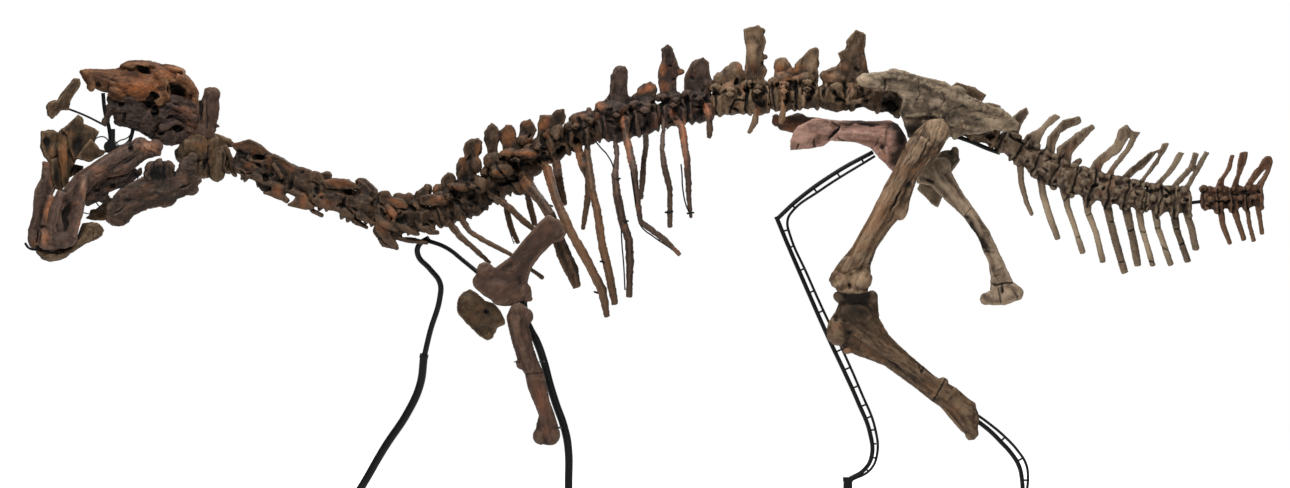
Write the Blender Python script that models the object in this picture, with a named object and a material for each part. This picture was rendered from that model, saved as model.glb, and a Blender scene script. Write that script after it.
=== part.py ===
"""Mounted skeleton of a young duck-billed dinosaur on its steel stand, in metres, +Z up.

The skeleton is set out on a side drawing, whose units run across to the right and down from the top.
It faces -X, so its left side is the near one, towards -Y. "side" is metres to the animal's left.
"""

import math

import bmesh
import bpy
from mathutils import Matrix, Vector

UNIT = 0.0048  # metres in one drawing unit
FLOOR_DOWN = 530  # units down to the floor
MIDDLE_ACROSS = 657.146  # units across to the middle of the length
EYE_ACROSS, EYE_DOWN = 645, 244  # units to the point of the trunk that the drawing is seen square to
EYE_AWAY = 14.0  # metres from which the drawing is seen
MIDDLE_SIDE = 0.016  # metres from the backbone to the middle of the width
HEAD_TURN = math.radians(25)  # how far the head turns to its left
HEAD_PIVOT = 205  # units across to the joint of head and neck

ILIUM_SIDE = 0.14  # metres from the midplane to each hip plate
PUBIS_SIDE = 0.13
ISCHIUM_SIDE = 0.06
LEG_SIDE = 0.215  # the left hind leg
SCAPULA_SIDE = 0.355
CORACOID_SIDE = 0.315
ARM_SIDE = 0.375
FORAMEN_RADIUS = 0.007

FRONT_POST = 0.013  # radii of the steel bars
FRONT_SLEEVE = 0.019
ARM_POST = 0.0165
RAIL = 0.0095
THIN_RAIL = 0.005
RUNG = 0.003
LADDER_SLEEVE = 0.023
FLANGE = 0.085
FLANGE_HEIGHT = 0.012

BONE = {
    "olive": (0.26, 0.17, 0.10),
    "orange": (0.42, 0.22, 0.12),
    "dark": (0.12, 0.08, 0.07),
    "brown": (0.17, 0.11, 0.08),
    "mauve": (0.22, 0.13, 0.12),
    "purple": (0.14, 0.09, 0.08),
    "tan": (0.32, 0.23, 0.15),
    "grey": (0.34, 0.28, 0.23),
    "pink": (0.31, 0.21, 0.18),
    "red": (0.20, 0.09, 0.06),
}
STEEL = (0.02, 0.02, 0.018)


def spot(across, down, side=0.0, turn=0.0):
    """The drawing's point in metres, on a plane to the animal's left of its own midplane."""
    rise_x = (across - EYE_ACROSS) * UNIT / EYE_AWAY
    rise_z = (EYE_DOWN - down) * UNIT / EYE_AWAY
    eye_x = (EYE_ACROSS - MIDDLE_ACROSS) * UNIT
    eye_z = (FLOOR_DOWN - EYE_DOWN) * UNIT
    pivot_x = (HEAD_PIVOT - MIDDLE_ACROSS) * UNIT
    lean = math.tan(turn)
    depth = lean * (eye_x + EYE_AWAY * rise_x - pivot_x) - side / math.cos(turn)
    depth /= 1 - lean * rise_x
    reach = EYE_AWAY + depth
    return Vector((eye_x + rise_x * reach, depth + MIDDLE_SIDE, eye_z + rise_z * reach))


def left_of(turn):
    """The direction to the animal's left."""
    return Vector((math.sin(turn), -math.cos(turn), 0))


def frame_of(across, up, centre):
    """The matrix that sets a unit circle at centre, reaching across one way and up the other."""
    along = across.cross(up).normalized()
    matrix = Matrix((across, up, along)).transposed().to_4x4()
    matrix.translation = centre
    return matrix


def piece(mesh, name="piece"):
    """A hidden object from the mesh, facing out and shaded smooth."""
    bmesh.ops.recalc_face_normals(mesh, faces=mesh.faces)
    data = bpy.data.meshes.new(name)
    mesh.to_mesh(data)
    mesh.free()
    data.polygons.foreach_set("use_smooth", [True] * len(data.polygons))
    data.set_sharp_from_angle(angle=math.radians(50))
    shape = bpy.data.objects.new(name, data)
    bpy.context.collection.objects.link(shape)
    shape.hide_render = True
    shape.display_type = "WIRE"
    return shape


def loft(frames, sides):
    """A closed body through round rings, each set by its matrix."""
    mesh = bmesh.new()
    bmesh.ops.create_circle(mesh, cap_ends=True, segments=sides, radius=1, matrix=frames[0])
    end = mesh.faces[:][0]
    for before, after in zip(frames, frames[1:]):
        grown = bmesh.ops.extrude_face_region(mesh, geom=[end])["geom"]
        corners = [part for part in grown if isinstance(part, bmesh.types.BMVert)]
        end = next(part for part in grown if isinstance(part, bmesh.types.BMFace))
        bmesh.ops.transform(mesh, matrix=after @ before.inverted(), verts=corners)
        if before is not frames[0]:
            bmesh.ops.delete(mesh, geom=[inner], context="FACES_ONLY")
        inner = end
    return piece(mesh)


def bone(rings, side=0.0, turn=0.0, sides=8):
    """A body whose rings run from one edge of the drawn outline to the other.

    A ring is (across, down, across, down, half thickness, and how much further to the side).
    """
    frames = []
    for ring in rings:
        here = side + (ring[5] if len(ring) > 5 else 0.0)
        first = spot(ring[0], ring[1], here, turn)
        second = spot(ring[2], ring[3], here, turn)
        frames.append(frame_of(left_of(turn) * ring[4], (first - second) / 2, (first + second) / 2))
    return loft(frames, sides)


def strip(path, half, side=0.0, turn=0.0, sides=6):
    """A bar along drawn points (across, down, width), with the same half thickness all along."""
    rings = []
    for place, (across, down, width) in enumerate(path):
        before = path[max(place - 1, 0)]
        after = path[min(place + 1, len(path) - 1)]
        ahead = Vector((after[0] - before[0], after[1] - before[1])).normalized() * width / 2
        rings.append((across + ahead.y, down - ahead.x, across - ahead.y, down + ahead.x, half))
    return bone(rings, side, turn, sides)


def chain(rims, sides=6, waist=0.78, wings=0.78):
    """Spool-shaped vertebrae in a row; a rim is (across, down, half height in units, half width).

    Between two rims the height is scaled by waist and the width by wings.
    """
    frames = []
    for place, (across, down, height, half) in enumerate(rims):
        before = rims[max(place - 1, 0)]
        after = rims[min(place + 1, len(rims) - 1)]
        ahead = Vector((after[0] - before[0], after[1] - before[1])).normalized()
        reach = ahead * height
        first = spot(across + reach.y, down - reach.x)
        second = spot(across - reach.y, down + reach.x)
        frames.append(frame_of(left_of(0) * half, (first - second) / 2, (first + second) / 2))
    spaced = [frames[0]]
    for before, after in zip(frames, frames[1:]):
        across = (before.col[0] + after.col[0]).to_3d() / 2 * wings
        up = (before.col[1] + after.col[1]).to_3d() / 2 * waist
        spaced.append(frame_of(across, up, (before.translation + after.translation) / 2))
        spaced.append(after)
    return loft(spaced, sides)


def slab(outline, side, thick, turn=0.0, lean=0.0, edge=0.0):
    """A plate with a drawn outline; lean moves it sideways per unit down, edge thins its rim."""
    mesh = bmesh.new()
    level = sum(down for across, down in outline) / len(outline)
    half = thick / 2 - edge * 0.6
    corners = []
    for across, down in outline:
        corners.append(mesh.verts.new(spot(across, down, side + lean * (down - level) + half, turn)))
    face = mesh.faces.new(corners)
    grown = bmesh.ops.extrude_face_region(mesh, geom=[face])["geom"]
    moved = [part for part in grown if isinstance(part, bmesh.types.BMVert)]
    bmesh.ops.translate(mesh, vec=left_of(turn) * -2 * half, verts=moved)
    bmesh.ops.recalc_face_normals(mesh, faces=mesh.faces)
    if edge:
        caps = [face for face in mesh.faces if len(face.verts) == len(outline)]
        bmesh.ops.inset_region(mesh, faces=caps, thickness=edge, depth=edge * 0.6, use_even_offset=True)
    return piece(mesh)


def sweep(points, widths, flat=1.0, sides=6):
    """A bar through points in metres; flat is its thickness over its width."""
    frames = []
    across = None
    for place, point in enumerate(points):
        ahead = points[min(place + 1, len(points) - 1)] - points[max(place - 1, 0)]
        ahead.normalize()
        if across is None:
            across = Vector((0, 0, 1)) if abs(ahead.x) > 0.8 else Vector((1, 0, 0))
        across = (across - ahead * across.dot(ahead)).normalized()
        through = ahead.cross(across)
        frames.append(frame_of(through * widths[place] * flat / 2, across * widths[place] / 2, point))
    return loft(frames, sides)


def rod(path, radius, sides=6, turn=0.0, stands=False):
    """A steel bar of one radius along drawn points, down to its floor plate if it stands."""
    points = [spot(*point, turn) for point in path]
    if stands:
        points.append(Vector((points[-1].x, points[-1].y, FLANGE_HEIGHT / 2)))
    return sweep(points, [2 * radius] * len(points), 1.0, sides)


def rib(path, bow, far=False, flat=0.75, sides=4):
    """A rib along drawn points (across, down, width in units), bowing out to bow metres."""
    length = [0.0]
    for before, after in zip(path, path[1:]):
        length.append(length[-1] + math.dist(before[:2], after[:2]))
    points = []
    for (across, down, width), reach in zip(path, length):
        part = reach / length[-1]
        out = 0.024 + (bow - 0.024) * math.sin(min(part / 0.45, 1) * math.pi / 2)
        out *= 1 - 0.22 * max(part - 0.45, 0)
        points.append(spot(across, down, -out if far else out))
    return sweep(points, [width * UNIT for across, down, width in path], flat, sides)


def crossbar(across, down, reach, width=0.045, height=0.022):
    """The two side processes of a vertebra, in one bar from right to left."""
    frames = []
    for side in (-reach, reach):
        end = spot(across, down, side + 0.003)
        frames.append(frame_of(Vector((width / 2, 0, 0)), Vector((0, 0, height / 2)), end))
    return loft(frames, 4)


def finish(name, colour, pieces, metal=0.0, rough=0.7):
    """One sub-part from its overlapping pieces, with a material of its own."""
    body = pieces[0]
    body.name = name
    body.data.name = name
    body.hide_render = False
    body.display_type = "TEXTURED"
    if len(pieces) > 1:
        others = bpy.data.collections.new(name + "_pieces")
        for added in pieces[1:]:
            others.objects.link(added)
        union = body.modifiers.new("join", "BOOLEAN")
        union.operation = "UNION"
        union.solver = "EXACT"
        union.operand_type = "COLLECTION"
        union.collection = others
    look = bpy.data.materials.new(name)
    look.use_nodes = True
    shader = look.node_tree.nodes["Principled BSDF"]
    shader.inputs["Base Color"].default_value = (*colour, 1)
    shader.inputs["Roughness"].default_value = rough
    shader.inputs["Metallic"].default_value = metal
    body.data.materials.append(look)
    return body


def flange(across, down, side):
    """A round floor plate straight below a drawn point."""
    mesh = bmesh.new()
    foot = spot(across, down, side)
    foot.z = FLANGE_HEIGHT / 2
    size = {"radius1": FLANGE, "radius2": FLANGE * 0.97, "depth": FLANGE_HEIGHT}
    bmesh.ops.create_cone(mesh, cap_ends=True, segments=10, matrix=Matrix.Translation(foot), **size)
    return piece(mesh)


def build_skull():
    """The head's bones, all turned together about the neck's joint."""
    turn = HEAD_TURN
    roof = bone(
        [
            (80, 70, 83, 75, 0.02),
            (91, 69, 89, 87, 0.04),
            (110, 69.5, 104, 92, 0.06),
            (125, 66, 119, 95, 0.07),
            (140, 62, 136, 98, 0.08),
            (155, 62, 152, 93, 0.085),
            (170, 66, 167, 96, 0.085),
            (188, 76, 179, 99, 0.07),
            (197, 94, 189, 104, 0.05),
        ],
        turn=turn,
    )
    finish("skull_roof", BONE["orange"], [roof])
    braincase = bone(
        [
            (114, 106, 115, 125, 0.025),
            (126, 99, 123, 126, 0.045),
            (141, 102, 141, 132, 0.045),
            (156, 98, 157, 143, 0.05),
            (172, 101, 172, 146, 0.055),
            (186, 105, 187, 138, 0.055),
            (196, 108, 198, 130, 0.04),
        ],
        turn=turn,
    )
    finish("braincase", BONE["dark"], [braincase])
    quadrate = bone(
        [
            (204, 88, 216, 87, 0.015),
            (201, 98, 219, 96, 0.02),
            (200, 110, 215, 110, 0.018),
            (199, 121, 215, 120, 0.018),
            (199, 130, 217, 131, 0.022),
        ],
        side=0.07,
        turn=turn,
        sides=6,
    )
    finish("quadrate_left", BONE["brown"], [quadrate])
    occiput = slab(
        [
            (180, 150), (188, 142), (200, 136), (218, 134), (231, 140), (224, 149), (231, 160),
            (234, 174), (226, 170), (222, 181), (215, 178), (211, 166), (209, 178), (201, 176),
            (197, 162), (190, 165), (181, 158),
        ],
        0.0, 0.10, turn, edge=0.008,
    )
    finish("occiput", BONE["brown"], [occiput])
    stick = slab(
        [
            (75, 78), (80, 78), (81, 84), (74, 95), (70, 102), (70, 110), (62, 110), (56, 115),
            (53, 119), (49, 115), (47, 106), (50, 102), (58, 101), (63, 93), (70, 84),
        ],
        0.0, 0.03, turn,
    )
    finish("nasal_front", BONE["olive"], [stick])
    plate = slab(
        [
            (75, 118), (79, 114), (84, 124), (95, 128), (99, 133), (93, 140), (85, 150), (82, 156),
            (74, 160), (70, 150), (68, 135), (62, 130),
        ],
        0.012, 0.03, turn,
    )
    upright = slab([
        (62, 128), (73, 131), (75, 150), (71, 172), (69, 187), (63, 188), (60, 158),
    ], -0.01, 0.03, turn)
    lower = slab([
        (91, 139), (100, 149), (107, 150), (104, 155), (90, 162), (76, 158), (82, 149),
    ], 0.033, 0.022, turn)
    finish("nasal_left", BONE["olive"], [plate, upright, lower])
    block = slab([(42, 131), (59, 133), (57, 158), (47, 158), (42, 147)], -0.05, 0.035, turn)
    finish("nasal_right", BONE["olive"], [block])
    beak_left = bone(
        [
            (49, 246, 58, 246, 0.02, -0.01),
            (49, 235, 75, 235, 0.028),
            (50, 223, 78, 223, 0.03),
            (55, 208, 81, 210, 0.03),
            (60, 192, 85, 196, 0.028),
            (75, 174, 97, 183, 0.026),
            (95, 161, 110, 177, 0.026),
            (118, 147, 127, 174, 0.026),
            (138, 138, 140, 165, 0.026),
            (152, 143, 151, 157, 0.022),
            (161, 150, 160, 156, 0.012),
        ],
        side=0.06,
        turn=turn,
        sides=6,
    )
    finish("premaxilla_left", BONE["mauve"], [beak_left])
    beak_right = bone(
        [
            (42, 161, 50, 162, 0.012),
            (41, 175, 56, 178, 0.02),
            (39, 192, 53, 190, 0.022),
            (33, 210, 48, 211, 0.022),
            (28, 230, 41, 231, 0.022),
            (30, 244, 37, 243, 0.018),
        ],
        side=-0.05,
        turn=turn,
        sides=6,
    )
    tongue = bone(
        [
            (49, 196, 54, 197, 0.012),
            (43, 212, 53, 212, 0.018),
            (38, 229, 49, 229, 0.018),
            (39, 243, 46, 244, 0.014),
        ],
        side=-0.04,
        turn=turn,
        sides=6,
    )
    finish("premaxilla_right", BONE["mauve"], [beak_right, tongue])
    cheek = slab(
        [
            (104, 179), (113, 177), (126, 178), (134, 174), (142, 167), (142, 174), (130, 184),
            (119, 188),
            (110, 192), (107, 200), (96, 203), (90, 206), (85, 203), (87, 193), (95, 186),
        ],
        0.03, 0.04, turn,
    )
    finish("maxilla_left", BONE["mauve"], [cheek])
    jaw = bone(
        [
            (107, 204, 107, 221, 0.014),
            (114, 194, 114, 227, 0.02),
            (123, 187, 124, 227, 0.022),
            (134, 181, 134, 216, 0.022),
            (148, 174, 149, 209, 0.022),
            (163, 171, 165, 206, 0.022),
            (177, 170, 179, 199, 0.022),
            (187, 159, 189, 196, 0.02),
            (194, 171, 198, 190, 0.014),
        ],
        side=0.085,
        turn=turn,
        sides=6,
    )
    teeth = slab([
        (145, 174), (152, 162), (168, 161), (172, 166), (172, 182), (150, 184),
    ], 0.085, 0.03, turn)
    finish("dentary_left", BONE["purple"], [jaw, teeth])
    stub = slab([
        (87, 218), (93, 213), (104, 203), (128, 192), (132, 212), (106, 220), (95, 220),
    ], -0.05, 0.03, turn)
    finish("dentary_right", BONE["purple"], [stub])
    scoop = bone(
        [
            (36, 250, 41, 256, 0.03, -0.05),
            (47, 252, 49, 262, 0.06, -0.04),
            (58, 252, 60, 260, 0.055, -0.035),
            (70, 247, 73, 253, 0.03, -0.012),
            (85, 229, 86, 244, 0.02),
            (92, 221, 97, 240, 0.018),
            (99, 228, 103, 235, 0.01),
        ],
        side=0.06,
        turn=turn,
        sides=6,
    )
    far_arm = bone(
        [(57, 253, 59, 259, 0.025), (74, 238, 78, 246, 0.018), (92, 225, 96, 236, 0.014)],
        side=-0.03,
        turn=turn,
        sides=6,
    )
    finish("predentary", BONE["purple"], [scoop, far_arm])


def build_neck():
    """Nine vertebrae in three lengths, with their ribs."""
    lengths = {
        "neck_front": (
            [(247, 164, 16, 0.045), (266, 171, 15, 0.045), (285, 179, 14, 0.045), (304, 187, 13, 0.045)],
            [
                [(247, 155), (247, 141), (256, 144), (266, 150), (264, 162)],
                [(268, 163), (270, 153), (280, 158), (287, 163), (285, 173)],
                [(289, 175), (291, 163), (300, 168), (304, 171), (303, 182)],
            ],
            [[(254, 168, 9), (263, 188, 7), (276, 196, 6), (289, 201, 3)]],
        ),
        "neck_middle": (
            [(307, 188, 13, 0.046), (328, 195, 13, 0.046), (350, 203, 13, 0.048), (371, 210, 13, 0.05)],
            [
                [(308, 184), (309, 171), (318, 174), (326, 172), (331, 173), (332, 190)],
                [(331, 197), (335, 179), (348, 180), (354, 184), (351, 202)],
                [(355, 204), (358, 179), (366, 184), (371, 189), (368, 208)],
            ],
            [
                [(315, 190, 8), (307, 204, 6), (313, 211, 5), (323, 216, 3)],
                [(338, 199, 9), (345, 213, 7), (357, 222, 6), (368, 228, 3)],
            ],
        ),
        "neck_rear": (
            [(374, 211, 13, 0.05), (394, 216, 14, 0.05), (414, 219, 14, 0.052), (431, 217, 14, 0.055)],
            [
                [(375, 206), (376, 193), (385, 191), (390, 196), (391, 210)],
                [(394, 211), (396, 194), (405, 194), (411, 194), (412, 214)],
                [(415, 213), (417, 191), (422, 187), (427, 184), (430, 188), (426, 213)],
            ],
            [
                [(382, 213, 9), (376, 231, 7), (384, 244, 5), (398, 248, 3)],
                [(407, 213, 9), (398, 238, 7), (410, 240, 6), (428, 243, 3)],
            ],
        ),
    }
    for name, (rims, arches, ribs) in lengths.items():
        pieces = [chain(rims, wings=1.55)]
        for place, outline in enumerate(arches):
            pieces.append(slab(outline, 0.001 * place, 0.050 + 0.002 * place))
        for path in ribs:
            pieces.append(strip(path, 0.016, 0.034, sides=4))
        finish(name, BONE["brown"], pieces)


def build_trunk():
    """The back's vertebrae in eight lengths, each with its spines and the ribs that grow from it."""
    lengths = {
        "back_1": (
            "tan",
            [(438, 214, 14, 0.055), (461, 203, 14, 0.055), (482, 191, 14, 0.055)],
            [
                [(438, 208), (435, 187), (441, 185), (443, 200), (447, 208)],
                [(444, 208), (443, 178), (448, 173), (453, 174), (452, 182), (455, 203)],
                [(458, 203), (457, 165), (460, 158), (465, 157), (466, 180), (468, 200)],
                [
                    (468, 198), (468, 170), (463, 150), (465, 142), (478, 138), (482, 142),
                    (478, 158), (473, 172), (475, 194),
                ],
            ],
            [
                ([(447, 220, 9), (460, 236, 8), (470, 245, 6), (490, 263, 3)], 0.2, False),
                ([
                    (458, 214, 8), (470, 232, 6), (485, 241, 5), (510, 254, 5), (543, 278, 4),
                ], 0.28, False),
            ],
        ),
        "back_2": (
            "tan",
            [(485, 189, 14, 0.055), (506, 176, 14, 0.055), (525, 165, 13, 0.055)],
            [
                [(488, 184), (487, 145), (484, 132), (492, 123), (500, 132), (497, 148), (500, 174)],
                [(504, 174), (502, 140), (501, 130), (506, 125), (512, 125), (517, 145), (514, 168)],
                [
                    (507, 174), (514, 150), (519, 134), (522, 124), (530, 118), (537, 130),
                    (530, 146), (521, 149), (516, 158), (515, 172),
                ],
            ],
            [
                ([
                    (489, 194, 9), (498, 200, 8), (510, 208, 8), (522, 220, 7), (537, 232, 5),
                ], 0.26, False),
                ([(497, 188, 7), (506, 205, 5), (510, 225, 5), (518, 243, 4)], 0.26, True),
                (
                    [
                        (519, 170, 12), (530, 188, 12), (541, 201, 11), (550, 214, 11),
                        (556, 232, 12), (564, 254, 14), (572, 271, 15), (577, 287, 9),
                    ],
                    0.3, False,
                ),
                ([(521, 174, 7), (526, 190, 6), (530, 205, 6), (535, 225, 5)], 0.27, True),
            ],
        ),
        "back_3": (
            "tan",
            [(528, 163, 13, 0.055), (547, 152, 13, 0.055), (565, 142, 13, 0.055)],
            [
                [
                    (533, 161), (533, 148), (538, 130), (540, 115), (552, 116), (551, 125),
                    (544, 142), (546, 154),
                ],
                [
                    (547, 153), (549, 135), (553, 118), (556, 112), (564, 108), (566, 117),
                    (564, 124), (558, 130), (557, 147),
                ],
            ],
            [
                (
                    [
                        (537, 158, 10), (547, 168, 10), (556, 200, 9), (565, 220, 9),
                        (575, 240, 9), (588, 262, 9), (602, 290, 9), (607, 317, 6),
                    ],
                    0.34, False,
                ),
                ([(555, 150, 9), (558, 175, 9), (562, 195, 8), (565, 205, 5)], 0.25, True),
            ],
        ),
        "back_4": (
            "tan",
            [(568, 140, 13, 0.055), (583, 133, 13, 0.055), (597, 128, 13, 0.055)],
            [
                [
                    (570, 140), (568, 118), (573, 114), (580, 112), (585, 114), (588, 108), (592, 114),
                    (597, 112), (596, 128),
                ],
            ],
            [
                ([
                    (576, 142, 9), (583, 165, 9), (589, 178, 8), (588, 195, 6), (583, 229, 3),
                ], 0.22, False),
                (
                    [
                        (588, 136, 8), (587, 155, 7), (592, 190, 8), (597, 210, 8), (603, 250, 8),
                        (608, 270, 8), (615, 304, 6),
                    ],
                    0.35, False,
                ),
            ],
        ),
        "back_5": (
            "brown",
            [(600, 127, 13, 0.06), (632, 122, 13, 0.06), (657, 117, 13, 0.06)],
            [
                [
                    (602, 124), (600, 106), (607, 97), (611, 92), (610, 75), (620, 67), (625, 66),
                    (628, 70),
                    (628, 90), (631, 102), (630, 122),
                ],
                [
                    (636, 120), (637, 102), (633, 98), (635, 94), (644, 84), (650, 81), (655, 85),
                    (657, 90),
                    (654, 100), (655, 116),
                ],
            ],
            [
                (
                    [
                        (622, 118, 8), (628, 145, 7), (634, 170, 7), (638, 205, 6), (641, 222, 6),
                        (665, 240, 5), (680, 255, 4),
                    ],
                    0.38, False,
                ),
                (
                    [
                        (614, 130, 7), (617, 155, 5), (615, 176, 6), (617, 195, 8), (622, 220, 8),
                        (629, 240, 8), (630, 265, 8), (629, 297, 6),
                    ],
                    0.34, False,
                ),
                ([(645, 124, 7), (646, 145, 5), (644, 160, 5), (641, 199, 4)], 0.2, True),
            ],
        ),
        "back_6": (
            "brown",
            [(660, 116, 12, 0.06), (686, 111, 13, 0.06), (711, 105, 12, 0.06)],
            [
                [
                    (662, 114), (661, 98), (659, 82), (658, 72), (664, 56), (661, 49), (668, 43),
                    (673, 48),
                    (678, 64), (683, 72), (677, 78), (677, 93), (683, 100), (682, 112),
                ],
                [
                    (690, 110), (689, 97), (684, 90), (684, 78), (690, 66), (703, 57), (709, 62),
                    (709, 72),
                    (712, 84), (707, 92), (710, 100), (708, 107),
                ],
            ],
            [
                ([
                    (664, 114, 4), (662, 150, 4), (664, 165, 6), (670, 190, 6), (670, 227, 4),
                ], 0.3, False),
                (
                    [(670, 110, 9), (682, 128, 8), (687, 160, 7), (689, 200, 5), (691, 218, 3)],
                    0.29, False,
                ),
                ([(705, 104, 10), (709, 116, 8), (710, 130, 6), (709, 138, 4)], 0.15, False),
            ],
        ),
        "back_7": (
            "tan",
            [(714, 104, 12, 0.06), (745, 101, 13, 0.06), (770, 101, 13, 0.06)],
            [
                [
                    (718, 108), (715, 100), (715, 84), (723, 76), (730, 70), (732, 64), (741, 66),
                    (743, 76),
                    (742, 92), (740, 106),
                ],
                [
                    (748, 104), (747, 88), (745, 75), (747, 50), (744, 29), (758, 25), (762, 28),
                    (766, 42),
                    (762, 56), (766, 68), (763, 84), (768, 92), (767, 103),
                ],
            ],
            [([(751, 101, 8), (756, 112, 6), (755, 121, 6), (749, 133, 4)], 0.16, False)],
        ),
        "back_8": (
            "tan",
            [(773, 101, 12, 0.06), (795, 98, 12, 0.06), (819, 97, 12, 0.06)],
            [
                [
                    (775, 101), (774, 78), (775, 60), (780, 57), (785, 58), (793, 68), (793, 84),
                    (791, 100),
                ],
                [
                    (797, 99), (797, 80), (795, 65), (801, 58), (810, 49), (817, 47), (819, 50),
                    (817, 65),
                    (819, 76), (817, 98),
                ],
            ],
            [([(786, 100, 8), (784, 110, 5), (783, 121, 4)], 0.1, False)],
        ),
    }
    for name, (colour, rims, spines, ribs) in lengths.items():
        pieces = [chain(rims)]
        for before, after in zip(rims, rims[1:]):
            middle = (before[0] + after[0]) / 2
            pieces.append(crossbar(middle, (before[1] + after[1]) / 2 - before[2] + 3.5, 0.13))
        for place, outline in enumerate(spines):
            pieces.append(slab(outline, 0.001 * place, 0.030 + 0.0025 * (place % 2)))
        for path, bow, far in ribs:
            pieces.append(rib(path, bow, far))
        finish(name, BONE[colour], pieces)


def build_hips():
    """The fused vertebrae of the hips, the hip bones and the left hind leg."""
    front = chain([
        (822, 96, 13, 0.06), (850, 96, 13, 0.06), (877, 98, 14, 0.062), (903, 106, 14, 0.062),
    ])
    crest = slab(
        [
            (824, 97), (822, 77), (826, 70), (846, 67), (841, 60), (838, 53), (848, 48), (846, 41),
            (856, 30), (866, 34), (865, 50), (868, 68), (873, 82), (873, 97),
        ],
        0.0, 0.032,
    )
    bars = [crossbar(836, 86, 0.11, 0.05, 0.03), crossbar(864, 88, 0.115, 0.06, 0.04)]
    bars.append(crossbar(890, 96, 0.115, 0.06, 0.04))
    finish("sacrum_front", BONE["brown"], [front, crest, *bars])
    rear = chain([
        (906, 107, 13, 0.06), (930, 113, 13, 0.058), (955, 122, 12, 0.055), (978, 131, 12, 0.052),
        (997, 138, 12, 0.05),
    ])
    plate = slab([
        (951, 121), (952, 87), (957, 82), (965, 84), (975, 88), (986, 95), (982, 101), (978, 129),
    ], 0.0, 0.03)
    second = slab([(984, 132), (985, 104), (990, 103), (1001, 106), (998, 113), (994, 134)], 0.0, 0.027)
    bars = [crossbar(918, 104, 0.115, 0.06, 0.04), crossbar(943, 112, 0.115, 0.05, 0.035)]
    bars.append(crossbar(968, 122, 0.1, 0.04, 0.03))
    finish("sacrum_rear", BONE["brown"], [rear, plate, second, *bars])
    hip = [
        (857, 79), (863, 74), (875, 73), (890, 71), (903, 71), (925, 77), (945, 82), (957, 91),
        (972, 98), (988, 104), (1005, 111), (1020, 124), (1017, 130), (1005, 131), (995, 128),
        (985, 132),
        (965, 135), (954, 140), (948, 125), (941, 117), (935, 115), (905, 118), (900, 110), (903, 100),
        (897, 92), (880, 89), (860, 85),
    ]
    finish("ilium_left", BONE["grey"], [slab(hip, ILIUM_SIDE, 0.04, edge=0.008)])
    finish("ilium_right", BONE["grey"], [slab(hip, -ILIUM_SIDE, 0.035)])
    blade = [
        (790, 150), (790, 141), (795, 130), (803, 124), (811, 120), (818, 117), (833, 120), (860, 122),
        (890, 120), (898, 124), (904, 133), (908, 142), (902, 156), (893, 172), (880, 158), (871, 147),
        (855, 142), (831, 141), (825, 146), (815, 148), (800, 150),
    ]
    finish("pubis_left", BONE["pink"], [slab(blade, PUBIS_SIDE, 0.034, edge=0.006)])
    far_blade = [
        (773, 116), (777, 114), (780, 119), (798, 113), (808, 117), (840, 121), (885, 121), (902, 132),
        (893, 168), (880, 158), (871, 147), (855, 142), (835, 140), (805, 138), (793, 133), (780, 130),
    ]
    finish("pubis_right", BONE["olive"], [slab(far_blade, -PUBIS_SIDE, 0.03)])
    shaft = [
        (919, 161), (930, 158), (945, 158), (950, 163), (951, 172), (957, 183), (966, 198), (980, 217),
        (989, 230), (996, 248), (1003, 262), (1013, 282), (1023, 291), (1021, 299), (1005, 305),
        (987, 305),
        (981, 297), (991, 290), (991, 277), (988, 262), (978, 238), (964, 217), (945, 199), (931, 185),
        (917, 183),
    ]
    finish("ischium_left", BONE["grey"], [slab(shaft, ISCHIUM_SIDE, 0.036, edge=0.006)])
    far_shaft = [
        (925, 165), (936, 157), (945, 151), (955, 151), (960, 160), (951, 172), (941, 200), (938, 208),
        (932, 204), (918, 190),
    ]
    finish("ischium_right", BONE["brown"], [slab(far_shaft, -ISCHIUM_SIDE, 0.03)])
    thigh = bone(
        [
            (928, 120, 944, 119, 0.03),
            (914, 132, 951, 133, 0.042),
            (903, 150, 939, 156, 0.042),
            (893, 170, 918, 178, 0.04),
            (883, 188, 914, 191, 0.036),
            (873, 208, 908, 209, 0.036),
            (864, 225, 892, 227, 0.034),
            (853, 246, 876, 248, 0.036),
            (837, 266, 870, 268, 0.05),
            (829, 280, 870, 282, 0.055),
            (840, 290, 867, 290, 0.042),
        ],
        side=LEG_SIDE,
    )
    ball = sweep(
        [spot(934, 130, LEG_SIDE), spot(933, 129, 0.17),
        spot(933, 128, 0.148)], [0.09, 0.078, 0.05], 1.0, 8
    )
    finish("femur_left", BONE["tan"], [thigh, ball])
    shin = bone(
        [
            (836, 293, 877, 293, 0.045),
            (838, 304, 878, 302, 0.052),
            (828, 322, 879, 318, 0.05),
            (831, 342, 889, 335, 0.045),
            (858, 357, 902, 348, 0.036),
            (885, 366, 916, 359, 0.03),
            (909, 383, 934, 375, 0.028),
            (929, 399, 956, 388, 0.034),
            (948, 412, 974, 404, 0.045),
            (960, 426, 977, 418, 0.045),
            (971, 439, 978, 434, 0.03),
        ],
        side=LEG_SIDE,
    )
    finish("tibia_left", BONE["brown"], [shin])


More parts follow.
